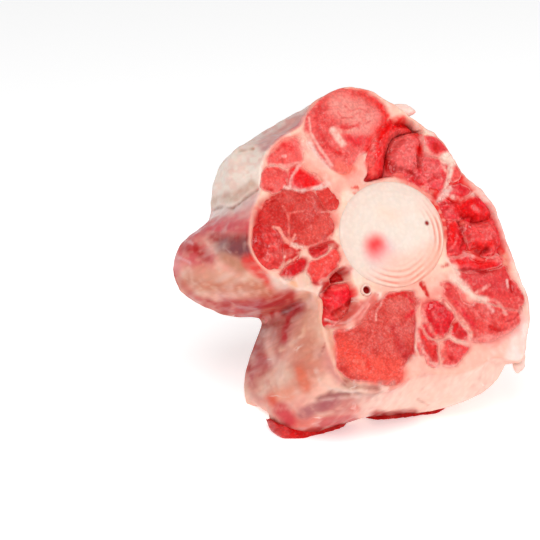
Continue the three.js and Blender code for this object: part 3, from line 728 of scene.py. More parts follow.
# %% Strokes on the left part of the cut
WING_STROKES = [
    ([(259, 214), (257, 228), (257, 240), (261, 254)], 8, 3, (196, 10, 24), 0.9),
    ([(280, 212), (290, 224), (300, 216)], 24, 10, (204, 58, 54), 0.5),
    ([(304, 238), (320, 232), (330, 222)], 12, 6, (236, 96, 86), 0.5),
    ([(283, 207), (287, 213), (289, 222), (289, 235), (291, 243)], 2.2, 1, (244, 128, 116), 0.9, -0.1),
    ([(289, 213), (303, 211)], 1.8, 1, (240, 120, 108), 0.7),
    ([(273, 227), (279, 228), (283, 237), (288, 243), (298, 248)], 3, 1, (250, 158, 142), 0.95, -0.15),
    ([(295, 235), (291, 243)], 2.2, 1, (248, 150, 136), 0.9),
    ([(291, 244), (299, 247), (307, 249)], 4.5, 1.5, (252, 192, 176), 0.95, -0.15),
    ([(306, 248), (318, 245), (327, 241), (333, 235)], 3, 1.2, (252, 156, 142), 0.9),
    ([(306, 250), (296, 256), (287, 264), (281, 268)], 4.5, 1.5, (250, 188, 168), 0.9),
    ([(282, 267), (285, 256)], 1.8, 1, (252, 190, 172), 0.9),
    ([(280, 247), (288, 246)], 3.4, 1.2, (212, 18, 34), 0.9, 0.3),
    ([(300, 250), (293, 257), (287, 260)], 3.4, 1.2, (204, 14, 30), 0.95, 0.3),
    ([(283, 253), (290, 253)], 6, 2.5, (226, 104, 96), 0.7),
    ([(267, 204), (276, 200)], 1.8, 1, (184, 20, 30), 0.8, 0.1),
    ([(322, 212), (334, 211)], 1.8, 1, (250, 152, 140), 0.8),
    ([(285, 273), (295, 268), (304, 262)], 9, 2.5, (214, 28, 42), 0.8),
    ([(313, 251), (321, 248), (328, 242)], 7.5, 2, (206, 24, 40), 0.9, 0.2),
    ([(333, 243), (336, 246)], 5, 1.5, (202, 24, 40), 0.9, 0.3),
    ([(318, 268), (326, 260), (336, 256)], 14, 5, (247, 84, 76), 0.6),
    ([(313, 281), (319, 284)], 5, 2, (200, 42, 48), 0.85, 0.2),
    ([(305, 276), (309, 287)], 8, 3, (228, 196, 174), 0.7),
    ([(291, 274), (299, 269), (304, 264)], 7, 3, (212, 40, 46), 0.8),
    ([(283, 280), (298, 290), (316, 293)], 10, 4, (240, 214, 198), 0.8),
    ([(293, 284), (294, 286)], 6, 2.5, (240, 172, 132), 0.8),
    ([(331, 282), (338, 274), (346, 270)], 11, 2.5, (200, 2, 30), 0.95),
    ([(327, 285), (325, 296), (325, 310)], 8, 3, (196, 2, 22), 0.9, 0.6),
    ([(331, 301), (342, 295), (353, 292)], 11, 4, (246, 42, 54), 0.9, -0.5),
    ([(334, 290), (350, 285)], 5, 2.5, (250, 92, 88), 0.8, -0.2),
    ([(353, 300), (343, 308), (334, 314)], 4.5, 1.5, (184, 8, 20), 0.95, 0.3),
    ([(343, 319), (352, 313), (361, 305)], 13, 4, (222, 86, 78), 0.9),
    ([(358, 322), (368, 310), (374, 300)], 10, 5, (226, 96, 86), 0.8),
    ([(325, 320), (335, 323), (348, 322), (358, 313), (366, 303), (371, 295)],
     2.4, 1, (251, 192, 182), 0.9, -0.3),
    ([(328, 326), (345, 327), (360, 318), (369, 304)], 2.2, 1, (249, 172, 162), 0.85, -0.2),
    ([(375, 294), (377, 295)], 2.6, 1, (190, 28, 30), 0.9, 0.2),
]
print("strokes on the left part:", len(WING_STROKES))

# %% Strokes on the right part of the cut
RIGHT_STROKES = [
    ([(377, 128), (374, 142), (372, 158), (371, 168)], 8, 3.5, (249, 112, 106), 0.85),
    ([(383, 134), (390, 127), (402, 123), (415, 131)], 11, 3, (238, 24, 38), 0.95),
    ([(398, 124), (408, 127), (416, 134)], 7, 3, (214, 4, 22), 0.9),
    ([(384, 136), (380, 150), (377, 168)], 8, 3, (238, 8, 32), 0.9),
    # painted shade in the pocket's cavity, which is also pressed in 1.2 mm
    ([(399, 137), (391, 146), (386, 158), (390, 168)], 9, 3, (196, 0, 16), 0.97, 1.2),
    # painted shade under the lump, along a crease pressed in 0.3 mm
    ([(388, 168), (400, 169), (411, 172), (418, 178)], 3.2, 1.2, (186, 8, 20), 0.95, 0.3),
    ([(403, 144), (410, 152), (404, 160)], 20, 7, (241, 108, 104), 0.7),
    ([(420, 149), (421, 157), (420, 169)], 8, 2.5, (222, 2, 18), 0.97, 0.6),
    # painted shade: the darker core at the bottom of the slit, pressed in 0.5 mm
    ([(419, 156), (419, 167)], 3.4, 1.5, (176, 0, 10), 0.9, 0.5),
    ([(424, 140), (427, 150), (433, 155), (443, 157), (450, 155)], 4, 2, (250, 172, 158), 0.85),
    ([(435, 144), (437, 152)], 5.5, 2, (206, 12, 36), 0.9, 0.2),
    ([(430, 145), (433, 140)], 3.5, 1.5, (222, 40, 54), 0.7),
    ([(447, 158), (453, 159)], 9, 3, (253, 222, 206), 0.9),
    ([(452, 163), (450, 171), (448, 181), (446, 190)], 4.5, 1.8, (252, 212, 196), 0.9),
    ([(441, 159), (444, 167), (448, 173)], 2.6, 1.2, (250, 192, 176), 0.8),
    ([(449, 188), (444, 194), (438, 201)], 6.5, 2.5, (252, 200, 190), 0.9),
    ([(427, 160), (432, 168), (428, 176)], 13, 6, (240, 112, 108), 0.55),
    ([(433, 174), (437, 178)], 2.6, 1.2, (206, 20, 38), 0.8, 0.2),
    ([(428, 182), (434, 178)], 2.6, 1.2, (206, 20, 38), 0.8, 0.2),
    ([(440, 176), (443, 172)], 2.6, 1.2, (212, 26, 42), 0.8, 0.2),
    ([(411, 177), (417, 182), (423, 185)], 4.5, 1.8, (214, 4, 24), 0.95, 0.3),
    ([(430, 192), (436, 198)], 4, 1.8, (206, 20, 30), 0.9, 0.2),
    ([(424, 188), (430, 193)], 4, 2, (250, 150, 136), 0.8),
    ([(470, 177), (476, 183), (479, 192)], 5, 2, (251, 198, 184), 0.85),
    ([(460, 188), (463, 190)], 5, 1.8, (222, 18, 48), 0.9, 0.2),
    ([(453, 186), (459, 183)], 2.4, 1.2, (214, 38, 58), 0.8, 0.2),
    ([(450, 193), (456, 195), (463, 196)], 2.8, 1.2, (226, 36, 54), 0.9, 0.2),
    ([(453, 197), (461, 200), (468, 197), (476, 193)], 4.5, 1.8, (252, 196, 182), 0.85),
    ([(443, 203), (455, 203)], 2.6, 1.2, (204, 10, 36), 0.85, 0.3),
    ([(443, 208), (452, 209), (460, 213)], 2.4, 1.2, (214, 20, 44), 0.7, 0.2),
    # painted highlight on the inner rib bundle
    ([(448, 212), (451, 210)], 4, 2.5, (250, 130, 128), 0.5),
    ([(463, 206), (470, 209), (478, 215), (486, 219)], 15, 4, (234, 6, 36), 0.92),
    ([(471, 199), (474, 203)], 6, 2.5, (236, 12, 34), 0.9),
    # painted shade: the dark band under the outer rib bundle, along a fold pressed in 0.6 mm
    ([(462, 216), (469, 219), (479, 223), (486, 222)], 5, 2, (186, 0, 12), 0.95, 0.6),
    # painted highlight on the outer rib bundle
    ([(473, 207), (477, 211)], 4, 2, (250, 124, 124), 0.6),
    ([(486, 205), (490, 213), (493, 222)], 5, 2, (242, 74, 80), 0.8),
    ([(451, 222), (455, 223)], 4, 1.8, (251, 124, 122), 0.8),
    ([(453, 226), (454, 234), (452, 243)], 7, 2, (242, 2, 32), 0.95),
    ([(459, 222), (461, 229), (464, 240), (461, 247)], 4.2, 1.5, (184, 0, 12), 0.95, 0.5),
    ([(457, 236), (455, 243), (451, 249)], 2, 1.2, (248, 120, 118), 0.6),
    ([(466, 226), (463, 233), (467, 243)], 1.5, 0.8, (246, 140, 138), 0.7, -0.1),
    ([(478, 230), (487, 233)], 18, 6, (246, 86, 84), 0.75, -0.5),
    ([(474, 244), (483, 247), (493, 242)], 7, 2.5, (234, 8, 38), 0.92),
    # a pit pressed in 1 mm; its near-black red is partly the meat's own red and partly painted shade
    ([(478, 250), (482, 253), (487, 249)], 7.5, 2.5, (176, 0, 6), 0.97, 1.0),
    ([(496, 228), (498, 240), (498, 250)], 4, 1.8, (224, 56, 62), 0.8),
    ([(448, 256), (456, 259), (465, 255), (475, 257), (488, 263), (500, 259)],
     4, 1.8, (251, 132, 126), 0.85, -0.4),
    ([(464, 253), (471, 256)], 4, 2, (252, 172, 166), 0.8),
    ([(458, 262), (468, 263), (480, 265), (493, 264)], 6, 2.2, (238, 8, 40), 0.9),
    ([(445, 258), (450, 264), (456, 269), (459, 274)], 2.2, 1, (252, 202, 192), 0.9),
    ([(459, 270), (470, 269), (482, 272), (492, 271), (501, 266)], 2.8, 1.2, (184, 4, 20), 0.95, 0.5),
    ([(441, 267), (447, 265)], 3.5, 1.5, (214, 40, 44), 0.8, 0.2),
    ([(506, 255), (506, 263)], 4.5, 1.2, (244, 158, 136), 0.9, 0.4),
    ([(434, 270), (440, 280), (432, 284)], 12, 5, (252, 196, 178), 0.8),
    ([(422, 284), (425, 290), (428, 296)], 4.4, 1.2, (212, 10, 26), 0.95, 0.3),
]
print("strokes on the right part:", len(RIGHT_STROKES))

# %% Strokes on the lower part of the cut
# A band of membrane under the keel that crosses the rim, and its pale edge, lie on the cut and the skin.
MEMBRANE_BAND = ([(345, 385), (360, 387), (376, 388)], 11, 3.5, (168, 88, 80), 0.85)
MEMBRANE_EDGE = ([(328, 388), (340, 391), (352, 392), (366, 391)], 2.6, 1.6, (248, 216, 204), 0.6)
LOW_STROKES = [
    ([(386, 297), (396, 295), (405, 292)], 3, 1.5, (226, 24, 42), 0.85, 0.1),
    ([(406, 296), (412, 301)], 3.4, 1.5, (226, 40, 52), 0.8),
    ([(372, 298), (362, 310), (356, 320)], 8, 4, (226, 112, 102), 0.6),
    ([(382, 297), (381, 305), (376, 312), (376, 320)], 1.8, 1, (250, 172, 160), 0.8),
    ([(393, 327), (398, 340), (402, 352), (409, 356)], 8, 4, (196, 40, 46), 0.65),
    ([(414, 308), (415, 328), (413, 350)], 2.4, 1.4, (200, 28, 44), 0.8),
    ([(408, 317), (412, 312)], 5, 2.2, (226, 24, 50), 0.8),
    ([(391, 331), (396, 326), (403, 325)], 2.2, 1.4, (204, 48, 52), 0.6),
    ([(404, 357), (410, 355)], 3, 1.4, (190, 20, 34), 0.85),
    ([(345, 350), (355, 362), (372, 370), (392, 372)], 20, 6, (248, 90, 76), 0.85),
    ([(344, 354), (358, 352), (368, 359), (369, 368)], 3.4, 2, (226, 56, 52), 0.6),
    ([(352, 371), (366, 374), (384, 376)], 3, 1.6, (250, 110, 96), 0.7),
    ([(386, 360), (389, 372)], 3, 2, (228, 64, 58), 0.5),
    ([(350, 361), (362, 362), (364, 370)], 3, 2, (252, 132, 116), 0.6),
    ([(340, 330), (343, 345), (350, 352)], 8, 4, (236, 78, 68), 0.6),
    MEMBRANE_BAND,
    ([(354, 381), (355, 391)], 1.4, 0.8, (226, 190, 182), 0.7),
    ([(381, 384), (392, 383)], 5, 2.5, (216, 150, 140), 0.7),
    MEMBRANE_EDGE,
    ([(436, 297), (447, 304), (456, 313), (464, 323), (470, 333), (471, 341)],
     4, 1.6, (250, 178, 162), 0.9, -0.2),
    ([(424, 300), (423, 312), (427, 323), (434, 333), (439, 338)], 3.6, 1.6, (250, 144, 132), 0.85),
    ([(418, 324), (418, 338), (422, 352), (431, 363), (441, 367), (453, 366)],
     3.6, 1.6, (252, 178, 166), 0.85, -0.1),
    ([(439, 338), (442, 346), (442, 355), (441, 363)], 5, 2, (246, 168, 152), 0.85),
    ([(447, 335), (456, 341), (467, 343)], 4.2, 1.6, (252, 192, 176), 0.9),
    ([(430, 306), (436, 318), (441, 330)], 17, 5, (228, 22, 46), 0.75),
    ([(434, 312), (438, 322)], 4, 2.5, (246, 120, 118), 0.5),
    ([(454, 325), (457, 333)], 8, 2.5, (220, 8, 32), 0.9),
    ([(421, 332), (426, 342), (432, 354)], 5, 2, (238, 62, 60), 0.7),
    ([(436, 348), (434, 356)], 4.5, 1.6, (204, 6, 18), 0.95, 0.3),
    ([(450, 358), (452, 360)], 4.6, 1.6, (204, 20, 36), 0.95, 0.3),
    ([(444, 350), (446, 360)], 5, 2.5, (240, 96, 88), 0.7),
    ([(442, 284), (452, 284)], 3, 1.5, (222, 40, 54), 0.8, 0.2),
    ([(447, 290), (460, 307), (476, 328)], 3.4, 1.8, (222, 44, 58), 0.75, 0.2),
    ([(444, 296), (456, 312), (470, 328)], 2.6, 1.5, (246, 128, 120), 0.7),
    ([(455, 284), (465, 300), (480, 318)], 2.6, 1.5, (246, 120, 114), 0.7),
    ([(452, 277), (462, 284), (472, 296), (485, 299)], 7, 2.5, (253, 214, 198), 0.95),
    ([(484, 299), (496, 301), (502, 307), (506, 314)], 3, 1.4, (252, 196, 182), 0.85),
    ([(475, 293), (482, 290), (489, 285)], 3, 1.4, (247, 174, 162), 0.8),
    ([(470, 277), (485, 280), (498, 285)], 14, 6, (224, 76, 80), 0.5),
    ([(511, 282), (512, 291)], 4.2, 1.4, (196, 8, 30), 0.95, 0.8),
    ([(507, 280), (508, 288)], 2.2, 1, (251, 190, 182), 0.8),
    ([(500, 300), (512, 308), (512, 316)], 12, 5, (238, 88, 84), 0.6),
    ([(522, 298), (521, 311), (514, 319), (505, 322)], 2, 1, (198, 26, 42), 0.8, 0.15),
    ([(490, 326), (498, 331), (506, 330)], 3.2, 1.4, (204, 6, 28), 0.9, 0.3),
    ([(489, 306), (493, 311)], 4, 2, (251, 186, 178), 0.75),
    ([(470, 341), (482, 338), (494, 339), (507, 336), (517, 329)], 8, 3.5, (250, 160, 150), 0.75),
    ([(455, 268), (457, 275)], 8, 3, (252, 206, 190), 0.85),
]
print("strokes on the lower part:", len(LOW_STROKES))
CUT_STROKES = CROWN_STROKES + WING_STROKES + RIGHT_STROKES + LOW_STROKES

# %% Strokes on the skin
SKIN_STROKES = [
    ([(215, 185), (238, 175), (255, 160)], 48, 14, (255, 238, 224), 0.95),
    ([(262, 142), (283, 131), (304, 120)], 20, 6, (224, 158, 154), 0.85),
    ([(245, 148), (262, 134), (283, 122), (306, 107)], 5, 2.5, (248, 222, 212), 0.85),
    ([(262, 150), (280, 139), (302, 124)], 5, 2.5, (206, 134, 138), 0.7),
    ([(240, 151), (252, 148)], 3, 1.5, (200, 142, 112), 0.8, 0.3),
    ([(200, 222), (225, 221), (245, 214), (256, 204)], 18, 6, (226, 124, 130), 0.85),
    ([(213, 214), (232, 210), (250, 201), (262, 196)], 10, 4, (238, 208, 202), 0.8),
    # painted shadow above the fold, then the fold's crease, pressed in 0.4 mm and darkened as painted shade
    ([(214, 200), (234, 198), (252, 186)], 8, 4, (208, 162, 138), 0.7),
    ([(211, 212), (222, 207), (232, 208), (241, 202), (250, 195), (258, 189)],
     2.6, 1.4, (172, 116, 98), 0.85, 0.4),
    ([(176, 246), (190, 252), (204, 262)], 44, 12, (232, 92, 98), 0.9),
    ([(180, 233), (205, 230), (230, 228), (250, 228)], 18, 7, (220, 78, 88), 0.9),
    ([(212, 238), (235, 238), (253, 236)], 9, 4, (186, 36, 44), 0.85),
    ([(222, 246), (236, 247), (251, 248)], 21, 6, (140, 58, 62), 0.9),
    ([(228, 247), (240, 250), (250, 250)], 12, 6, (122, 78, 88), 0.6),
    # painted highlight on the bruise
    ([(224, 247), (231, 253)], 1.4, 0.8, (206, 166, 166), 0.7),
    ([(172, 236), (185, 229), (198, 225)], 13, 5, (222, 112, 120), 0.8),
    ([(170, 240), (172, 256), (176, 270)], 9, 4, (238, 140, 142), 0.85),
    ([(184, 247), (197, 250), (205, 257)], 14, 5, (192, 12, 34), 0.9),
    # painted highlights: two glints on the wet membrane of the lobe
    ([(175, 241), (187, 240), (193, 243)], 2.6, 1.8, (250, 204, 204), 0.6),
    ([(170, 256), (181, 258), (191, 263)], 2.6, 1.8, (250, 204, 204), 0.6),
    ([(172, 270), (179, 281), (191, 291)], 9, 4, (208, 92, 92), 0.85),
    ([(190, 282), (215, 286), (240, 287), (264, 291)], 34, 9, (206, 112, 82), 0.9),
    ([(200, 271), (226, 278)], 12, 6, (232, 158, 132), 0.7),
    ([(225, 257), (240, 267)], 13, 5, (198, 130, 100), 0.8),
    ([(249, 262), (262, 275), (271, 286)], 11, 4, (236, 62, 56), 0.92),
    ([(275, 272), (281, 284), (300, 291), (316, 293)], 16, 5, (242, 216, 202), 0.85),
    ([(292, 284), (294, 286)], 7, 3, (240, 172, 132), 0.8),
    ([(225, 305), (258, 303), (290, 298)], 14, 5, (190, 40, 36), 0.92),
    ([(190, 296), (206, 303), (226, 312)], 8, 3.5, (190, 44, 42), 0.9),
    ([(240, 309), (262, 306), (282, 303)], 7, 3, (186, 34, 54), 0.9),
    ([(236, 313), (250, 318), (268, 317), (286, 312), (301, 303), (308, 297)],
     10, 2.5, (206, 4, 26), 0.97),
    # painted shade at the bottom of the crease under the lobe, pressed in 0.5 mm
    ([(284, 313), (298, 304), (308, 297)], 7, 2.5, (150, 2, 12), 0.95, 0.5),
    ([(248, 322), (265, 326), (277, 322)], 6, 2.5, (190, 26, 46), 0.85),
    # the next four strokes are painted shadow: they darken the hollow beside the body, where neighbouring
    # slices shade it, over the skin's own reddish brown
    ([(244, 332), (248, 352), (254, 372), (262, 386)], 24, 8, (184, 36, 26), 0.92),
    ([(262, 332), (262, 346)], 11, 5, (176, 60, 44), 0.85),
    ([(257, 350), (262, 358)], 12, 5, (186, 44, 30), 0.85),
    ([(262, 360), (270, 372)], 9, 4, (190, 20, 28), 0.85, 0.2),
    ([(277, 326), (281, 346), (276, 366)], 13, 6, (196, 92, 78), 0.8),
    ([(312, 300), (314, 320), (312, 346)], 26, 7, (235, 172, 148), 0.9),
    ([(303, 342), (310, 362), (300, 372)], 30, 9, (216, 134, 112), 0.85),
    ([(298, 308), (289, 318), (285, 330), (284, 341)], 11, 5, (200, 72, 78), 0.85),
    ([(297, 308), (288, 318), (284, 330), (284, 340)], 5.2, 1.8, (206, 14, 44), 0.95, 0.2),
    ([(282, 349), (292, 343), (302, 335), (306, 320)], 3.6, 1.8, (240, 188, 160), 0.85, -0.3),
    ([(330, 346), (330, 362), (341, 378)], 15, 5, (224, 142, 134), 0.8),
    ([(330, 335), (325, 345), (319, 356)], 2, 1, (180, 80, 70), 0.85, 0.3),
    ([(315, 370), (321, 385), (336, 390), (356, 392)], 2.6, 1.6, (246, 206, 192), 0.6),
    ([(333, 336), (337, 350)], 2.6, 1.6, (242, 184, 170), 0.5),
    ([(299, 370), (303, 380), (306, 388)], 8, 4, (232, 112, 84), 0.7),
    ([(283, 374), (266, 391)], 17, 6, (242, 198, 176), 0.85),
    ([(278, 397), (288, 395)], 15, 6, (244, 142, 108), 0.7),
    ([(271, 399), (273, 402)], 10, 4, (240, 84, 58), 0.85),
    ([(281, 409), (289, 420)], 15, 5, (218, 70, 80), 0.9),
    ([(326, 407), (350, 404), (369, 402)], 15, 5, (206, 112, 108), 0.85),
    ([(319, 398), (338, 394), (356, 394), (376, 396)], 6.5, 3, (156, 92, 90), 0.85, 0.2),
    ([(304, 413), (320, 406), (336, 400)], 9, 4, (178, 98, 104), 0.85),
    ([(321, 400), (340, 398), (361, 397)], 2.4, 1.5, (234, 192, 182), 0.6),
    ([(372, 403), (396, 401), (430, 399), (465, 387), (490, 366)], 28, 9, (249, 212, 196), 0.8),
    ([(353, 408), (356, 408)], 6, 2.5, (226, 94, 84), 0.8),
    ([(264, 422), (276, 428), (290, 432), (304, 434), (320, 430), (334, 426), (352, 423)],
     11, 3, (170, 22, 30), 0.95),
    ([(324, 421), (340, 420), (352, 419)], 9, 3, (204, 84, 84), 0.85),
    ([(372, 416), (386, 415), (402, 413), (414, 411)], 8, 2.5, (172, 26, 34), 0.95),
    # painted highlight: a thin glint along the red band at the bottom
    ([(290, 427), (305, 428), (318, 425)], 2, 1.2, (242, 174, 168), 0.7),
    ([(418, 400), (428, 405)], 1.8, 0.9, (190, 90, 80), 0.8, 0.3),
    MEMBRANE_BAND,
    MEMBRANE_EDGE,
]
print("strokes on the cut:", len(CUT_STROKES), "on the skin:", len(SKIN_STROKES))


# %% [markdown]
# ## Materials
# Raw meat is a wet, grainy, slightly see-through solid: a coat for the wet film, a bump for the grain,
# and light that travels a little under the surface. Three effects are shared by all materials, so each
# is a node group: the grain of cut fibres, pale threads of connective tissue, and the patchy wet film.

# %% Node helpers
def add(tree, kind, sockets=None, **settings):
    """A node with its settings and sockets filled in; a socket's value may be another node's output"""
    item = tree.nodes.new(kind)
    for key, value in settings.items():
        setattr(item, key, value)
    for key, value in (sockets or {}).items():
        if isinstance(value, bpy.types.NodeSocket):
            tree.links.new(value, item.inputs[key])
        else:
            item.inputs[key].default_value = value
    return item


def maths(tree, operation, *values):
    """The result of a Math node"""
    return add(tree, "ShaderNodeMath", dict(enumerate(values)), operation=operation).outputs[0]


def between(tree, value, low, high, to_low=0.0, to_high=1.0):
    """A value mapped smoothly from one range to another"""
    sockets = {"Value": value, "From Min": low, "From Max": high, "To Min": to_low, "To Max": to_high}
    return add(tree, "ShaderNodeMapRange", sockets, interpolation_type="SMOOTHSTEP").outputs["Result"]


def mixed(tree, share, first, second):
    """Two colours mixed, the second by a share"""
    return add(tree, "ShaderNodeMix", {0: share, 6: first, 7: second}, data_type="RGBA").outputs[2]


def bent(tree, place, noise_colour, size):
    """A place moved a little by noise"""
    moved = add(tree, "ShaderNodeVectorMath", {0: noise_colour, "Scale": size}, operation="SCALE")
    return add(tree, "ShaderNodeVectorMath", {0: place, 1: moved.outputs[0]}, operation="ADD").outputs[0]


def new_group(name, inputs, outputs):
    """An empty node group with named inputs and outputs"""
    group = bpy.data.node_groups.new(name, "ShaderNodeTree")
    for label, kind in inputs:
        group.interface.new_socket(label, in_out="INPUT", socket_type=kind)
    for label, kind in outputs:
        group.interface.new_socket(label, in_out="OUTPUT", socket_type=kind)
    return group, group.nodes.new("NodeGroupInput").outputs, group.nodes.new("NodeGroupOutput").inputs


# %% Shared effects
def cut_grain():
    """Bundles of fibres cut across: small rounded grains of uneven size, with finer ones on them, and pale
    specks that are partly flecks of fat and partly painted wet glints
    """
    sizes = [("Vector", "NodeSocketVector"), ("Size", "NodeSocketFloat")]
    masks = [(label, "NodeSocketFloat") for label in ("Height", "Shade", "Speckle")]
    group, given, result = new_group("cut grain", sizes, masks)
    bend = add(group, "ShaderNodeTexNoise", {"Vector": given["Vector"], "Scale": 420.0, "Detail": 1.0})
    place = bent(group, given["Vector"], bend.outputs["Color"], 0.0011)
    size = {"Vector": place, "Scale": given["Size"]}
    cells = add(group, "ShaderNodeTexVoronoi", size, feature="SMOOTH_F1")
    fine = add(group, "ShaderNodeTexNoise", {"Vector": given["Vector"], "Scale": 1500.0, "Detail": 3.0})
    grain = between(group, cells.outputs["Distance"], 0.05, 0.75, 1.0, 0.0)
    height = maths(group, "MULTIPLY_ADD", fine.outputs["Fac"], 0.35, grain)
    group.links.new(height, result["Height"])
    group.links.new(maths(group, "MULTIPLY", height, 0.75), result["Shade"])
    dot_sizes = {"Vector": given["Vector"], "Scale": 1150.0, "Detail": 2.0, "Distortion": 0.6}
    dots = add(group, "ShaderNodeTexNoise", dot_sizes)
    areas = add(group, "ShaderNodeTexNoise", {"Vector": given["Vector"], "Scale": 240.0, "Detail": 1.0})
    speckle = maths(group, "MULTIPLY", between(group, dots.outputs["Fac"], 0.5, 0.66),
                    between(group, areas.outputs["Fac"], 0.36, 0.62, 0.25, 1.0))
    group.links.new(speckle, result["Speckle"])
    return group


def pale_threads():
    """A net of thin pale lines, broken up so that only parts of it show"""
    inputs = [("Vector", "NodeSocketVector"), ("Size", "NodeSocketFloat"), ("Width", "NodeSocketFloat"),
              ("Cover", "NodeSocketFloat")]
    group, given, result = new_group("pale threads", inputs, [("Mask", "NodeSocketFloat")])
    bend = add(group, "ShaderNodeTexNoise", {"Vector": given["Vector"], "Scale": 260.0, "Detail": 2.0})
    place = bent(group, given["Vector"], bend.outputs["Color"], 0.0035)
    size = {"Vector": place, "Scale": given["Size"]}
    net = add(group, "ShaderNodeTexVoronoi", size, feature="DISTANCE_TO_EDGE")
    away = maths(group, "DIVIDE", net.outputs["Distance"], given["Width"])
    line = between(group, away, 0.2, 1.0, 1.0, 0.0)
    parts = add(group, "ShaderNodeTexNoise", {"Vector": given["Vector"], "Scale": 130.0, "Detail": 2.0})
    shown = between(group, maths(group, "ADD", parts.outputs["Fac"], given["Cover"]), 0.92, 1.12)
    group.links.new(maths(group, "MULTIPLY", line, shown), result["Mask"])
    return group


def wet_film():
    """Where the surface is wet and where it has dried a little"""
    group, given, result = new_group("wet film", [("Vector", "NodeSocketVector")],
                                     [("Roughness", "NodeSocketFloat"), ("Film", "NodeSocketFloat")])
    patches = add(group, "ShaderNodeTexNoise", {"Vector": given["Vector"], "Scale": 210.0, "Detail": 3.0})
    group.links.new(between(group, patches.outputs["Fac"], 0.35, 0.65, 0.52, 0.3), result["Roughness"])
    group.links.new(between(group, patches.outputs["Fac"], 0.46, 0.64, 0.03, 0.42), result["Film"])
    return group


GRAIN, THREADS, FILM = cut_grain(), pale_threads(), wet_film()
print("shared effects:", [g.name for g in bpy.data.node_groups])


# %% Materials of flesh
def flesh(name, grain, contrast, bump, speckle, threads, thread_colour, depth, wet=1.0):
    """Wet flesh: its tint from the corners, shaded by grain, dotted with pale specks that are partly painted
    glints, crossed by pale threads, under a wet film
    """
    material = bpy.data.materials.new(name)
    material.use_nodes = True
    tree = material.node_tree
    shader = tree.nodes["Principled BSDF"]
    place = add(tree, "ShaderNodeTexCoord").outputs["Object"]
    turned = add(tree, "ShaderNodeVectorRotate", {"Vector": place, "Angle": LEAN}, rotation_type="X_AXIS")
    stretched = {0: turned.outputs[0], 1: (1.0, 0.3, 1.0)}
    place = add(tree, "ShaderNodeVectorMath", stretched, operation="MULTIPLY").outputs[0]
    tint = add(tree, "ShaderNodeAttribute", attribute_name="tint").outputs["Color"]
    grains = add(tree, "ShaderNodeGroup", node_tree=GRAIN)
    tree.links.new(place, grains.inputs["Vector"])
    grains.inputs["Size"].default_value = grain
    shade = between(tree, grains.outputs["Shade"], 0.15, 0.95, 1 - contrast, 1 + contrast)
    shaded = add(tree, "ShaderNodeVectorMath", {0: tint, "Scale": shade}, operation="SCALE").outputs[0]
    # pale specks mixed in: partly flecks, partly painted wet glints; fewer on the deepest reds
    green = add(tree, "ShaderNodeSeparateColor", {"Color": tint}).outputs["Green"]
    shown = between(tree, green, 0.0, 0.09, 0.15 * speckle, speckle)
    dots = maths(tree, "MULTIPLY", grains.outputs["Speckle"], shown)
    shaded = mixed(tree, dots, shaded, (*linear((252, 160, 152)), 1))
    net = add(tree, "ShaderNodeGroup", node_tree=THREADS)
    tree.links.new(place, net.inputs["Vector"])
    for label, value in zip(("Size", "Width", "Cover"), threads):
        net.inputs[label].default_value = value
    colour = mixed(tree, net.outputs["Mask"], shaded, (*linear(thread_colour), 1))
    film = add(tree, "ShaderNodeGroup", node_tree=FILM)
    tree.links.new(place, film.inputs["Vector"])
    height = maths(tree, "MULTIPLY_ADD", net.outputs["Mask"], -0.25, grains.outputs["Height"])
    relief = add(tree, "ShaderNodeBump", {"Strength": 1.0, "Distance": bump * MM, "Height": height})
    tree.links.new(colour, shader.inputs["Base Color"])
    tree.links.new(film.outputs["Roughness"], shader.inputs["Roughness"])
    tree.links.new(maths(tree, "MULTIPLY", film.outputs["Film"], wet), shader.inputs["Coat Weight"])
    tree.links.new(relief.outputs["Normal"], shader.inputs["Normal"])
    shader.inputs["Coat Roughness"].default_value = 0.1
    shader.inputs["Specular IOR Level"].default_value = 0.1
    shader.inputs["Coat IOR"].default_value = 1.38
    shader.inputs["Subsurface Weight"].default_value = depth
    shader.inputs["Subsurface Radius"].default_value = (1.0, 0.28, 0.2)
    shader.inputs["Subsurface Scale"].default_value = 0.0016
    return material


MEAT_LOOKS = {
    "granular": flesh("granular meat", 1400.0, 0.13, 0.12, 0.26, (150.0, 0.05, 0.1), (250, 170, 156), 0.1),
    "salmon": flesh("salmon meat", 1100.0, 0.12, 0.14, 0.28, (190.0, 0.07, 0.24), (252, 180, 165), 0.12),
    "crimson": flesh("crimson meat", 900.0, 0.16, 0.2, 0.42, (210.0, 0.06, 0.2), (250, 120, 120), 0.1, 1.7),
}
FAT_LOOK = flesh("fat and membrane", 620.0, 0.04, 0.09, 0.0, (160.0, 0.06, 0.3), (255, 240, 230), 0.3, 0.5)
BONE_LOOK = flesh("cartilage", 700.0, 0.03, 0.05, 0.0, (110.0, 0.03, 0.1), (255, 250, 240), 0.25)
print("materials:", [m.name for m in bpy.data.materials if m.name[0].islower()])


# %% [markdown]
# ## Fat and membrane
# One mass of fat holds everything: it shows as webs between the bundles on both cuts, and as the skin of
# the slice. A plain torus, spun from a ring, already has the right topology, because the slice has a
# hole for the bone, so each of its corners is moved to the place that its row and column stand for.

# %% Spin the torus
COLUMNS = 540
TORUS_RADIUS = 3  # of the plain torus, whose ring has a radius of 1; only its rows and columns are used
# Rows of corners in each stage of the way round: stages 0 to 5 are these six, in this order.
ROWS = {"front": 60, "rim": 6, "side": 72, "back_rim": 5, "back": 36, "bore": 4}
BORE = 15.0  # mm, inside the bone, where the hole through the fat is never seen


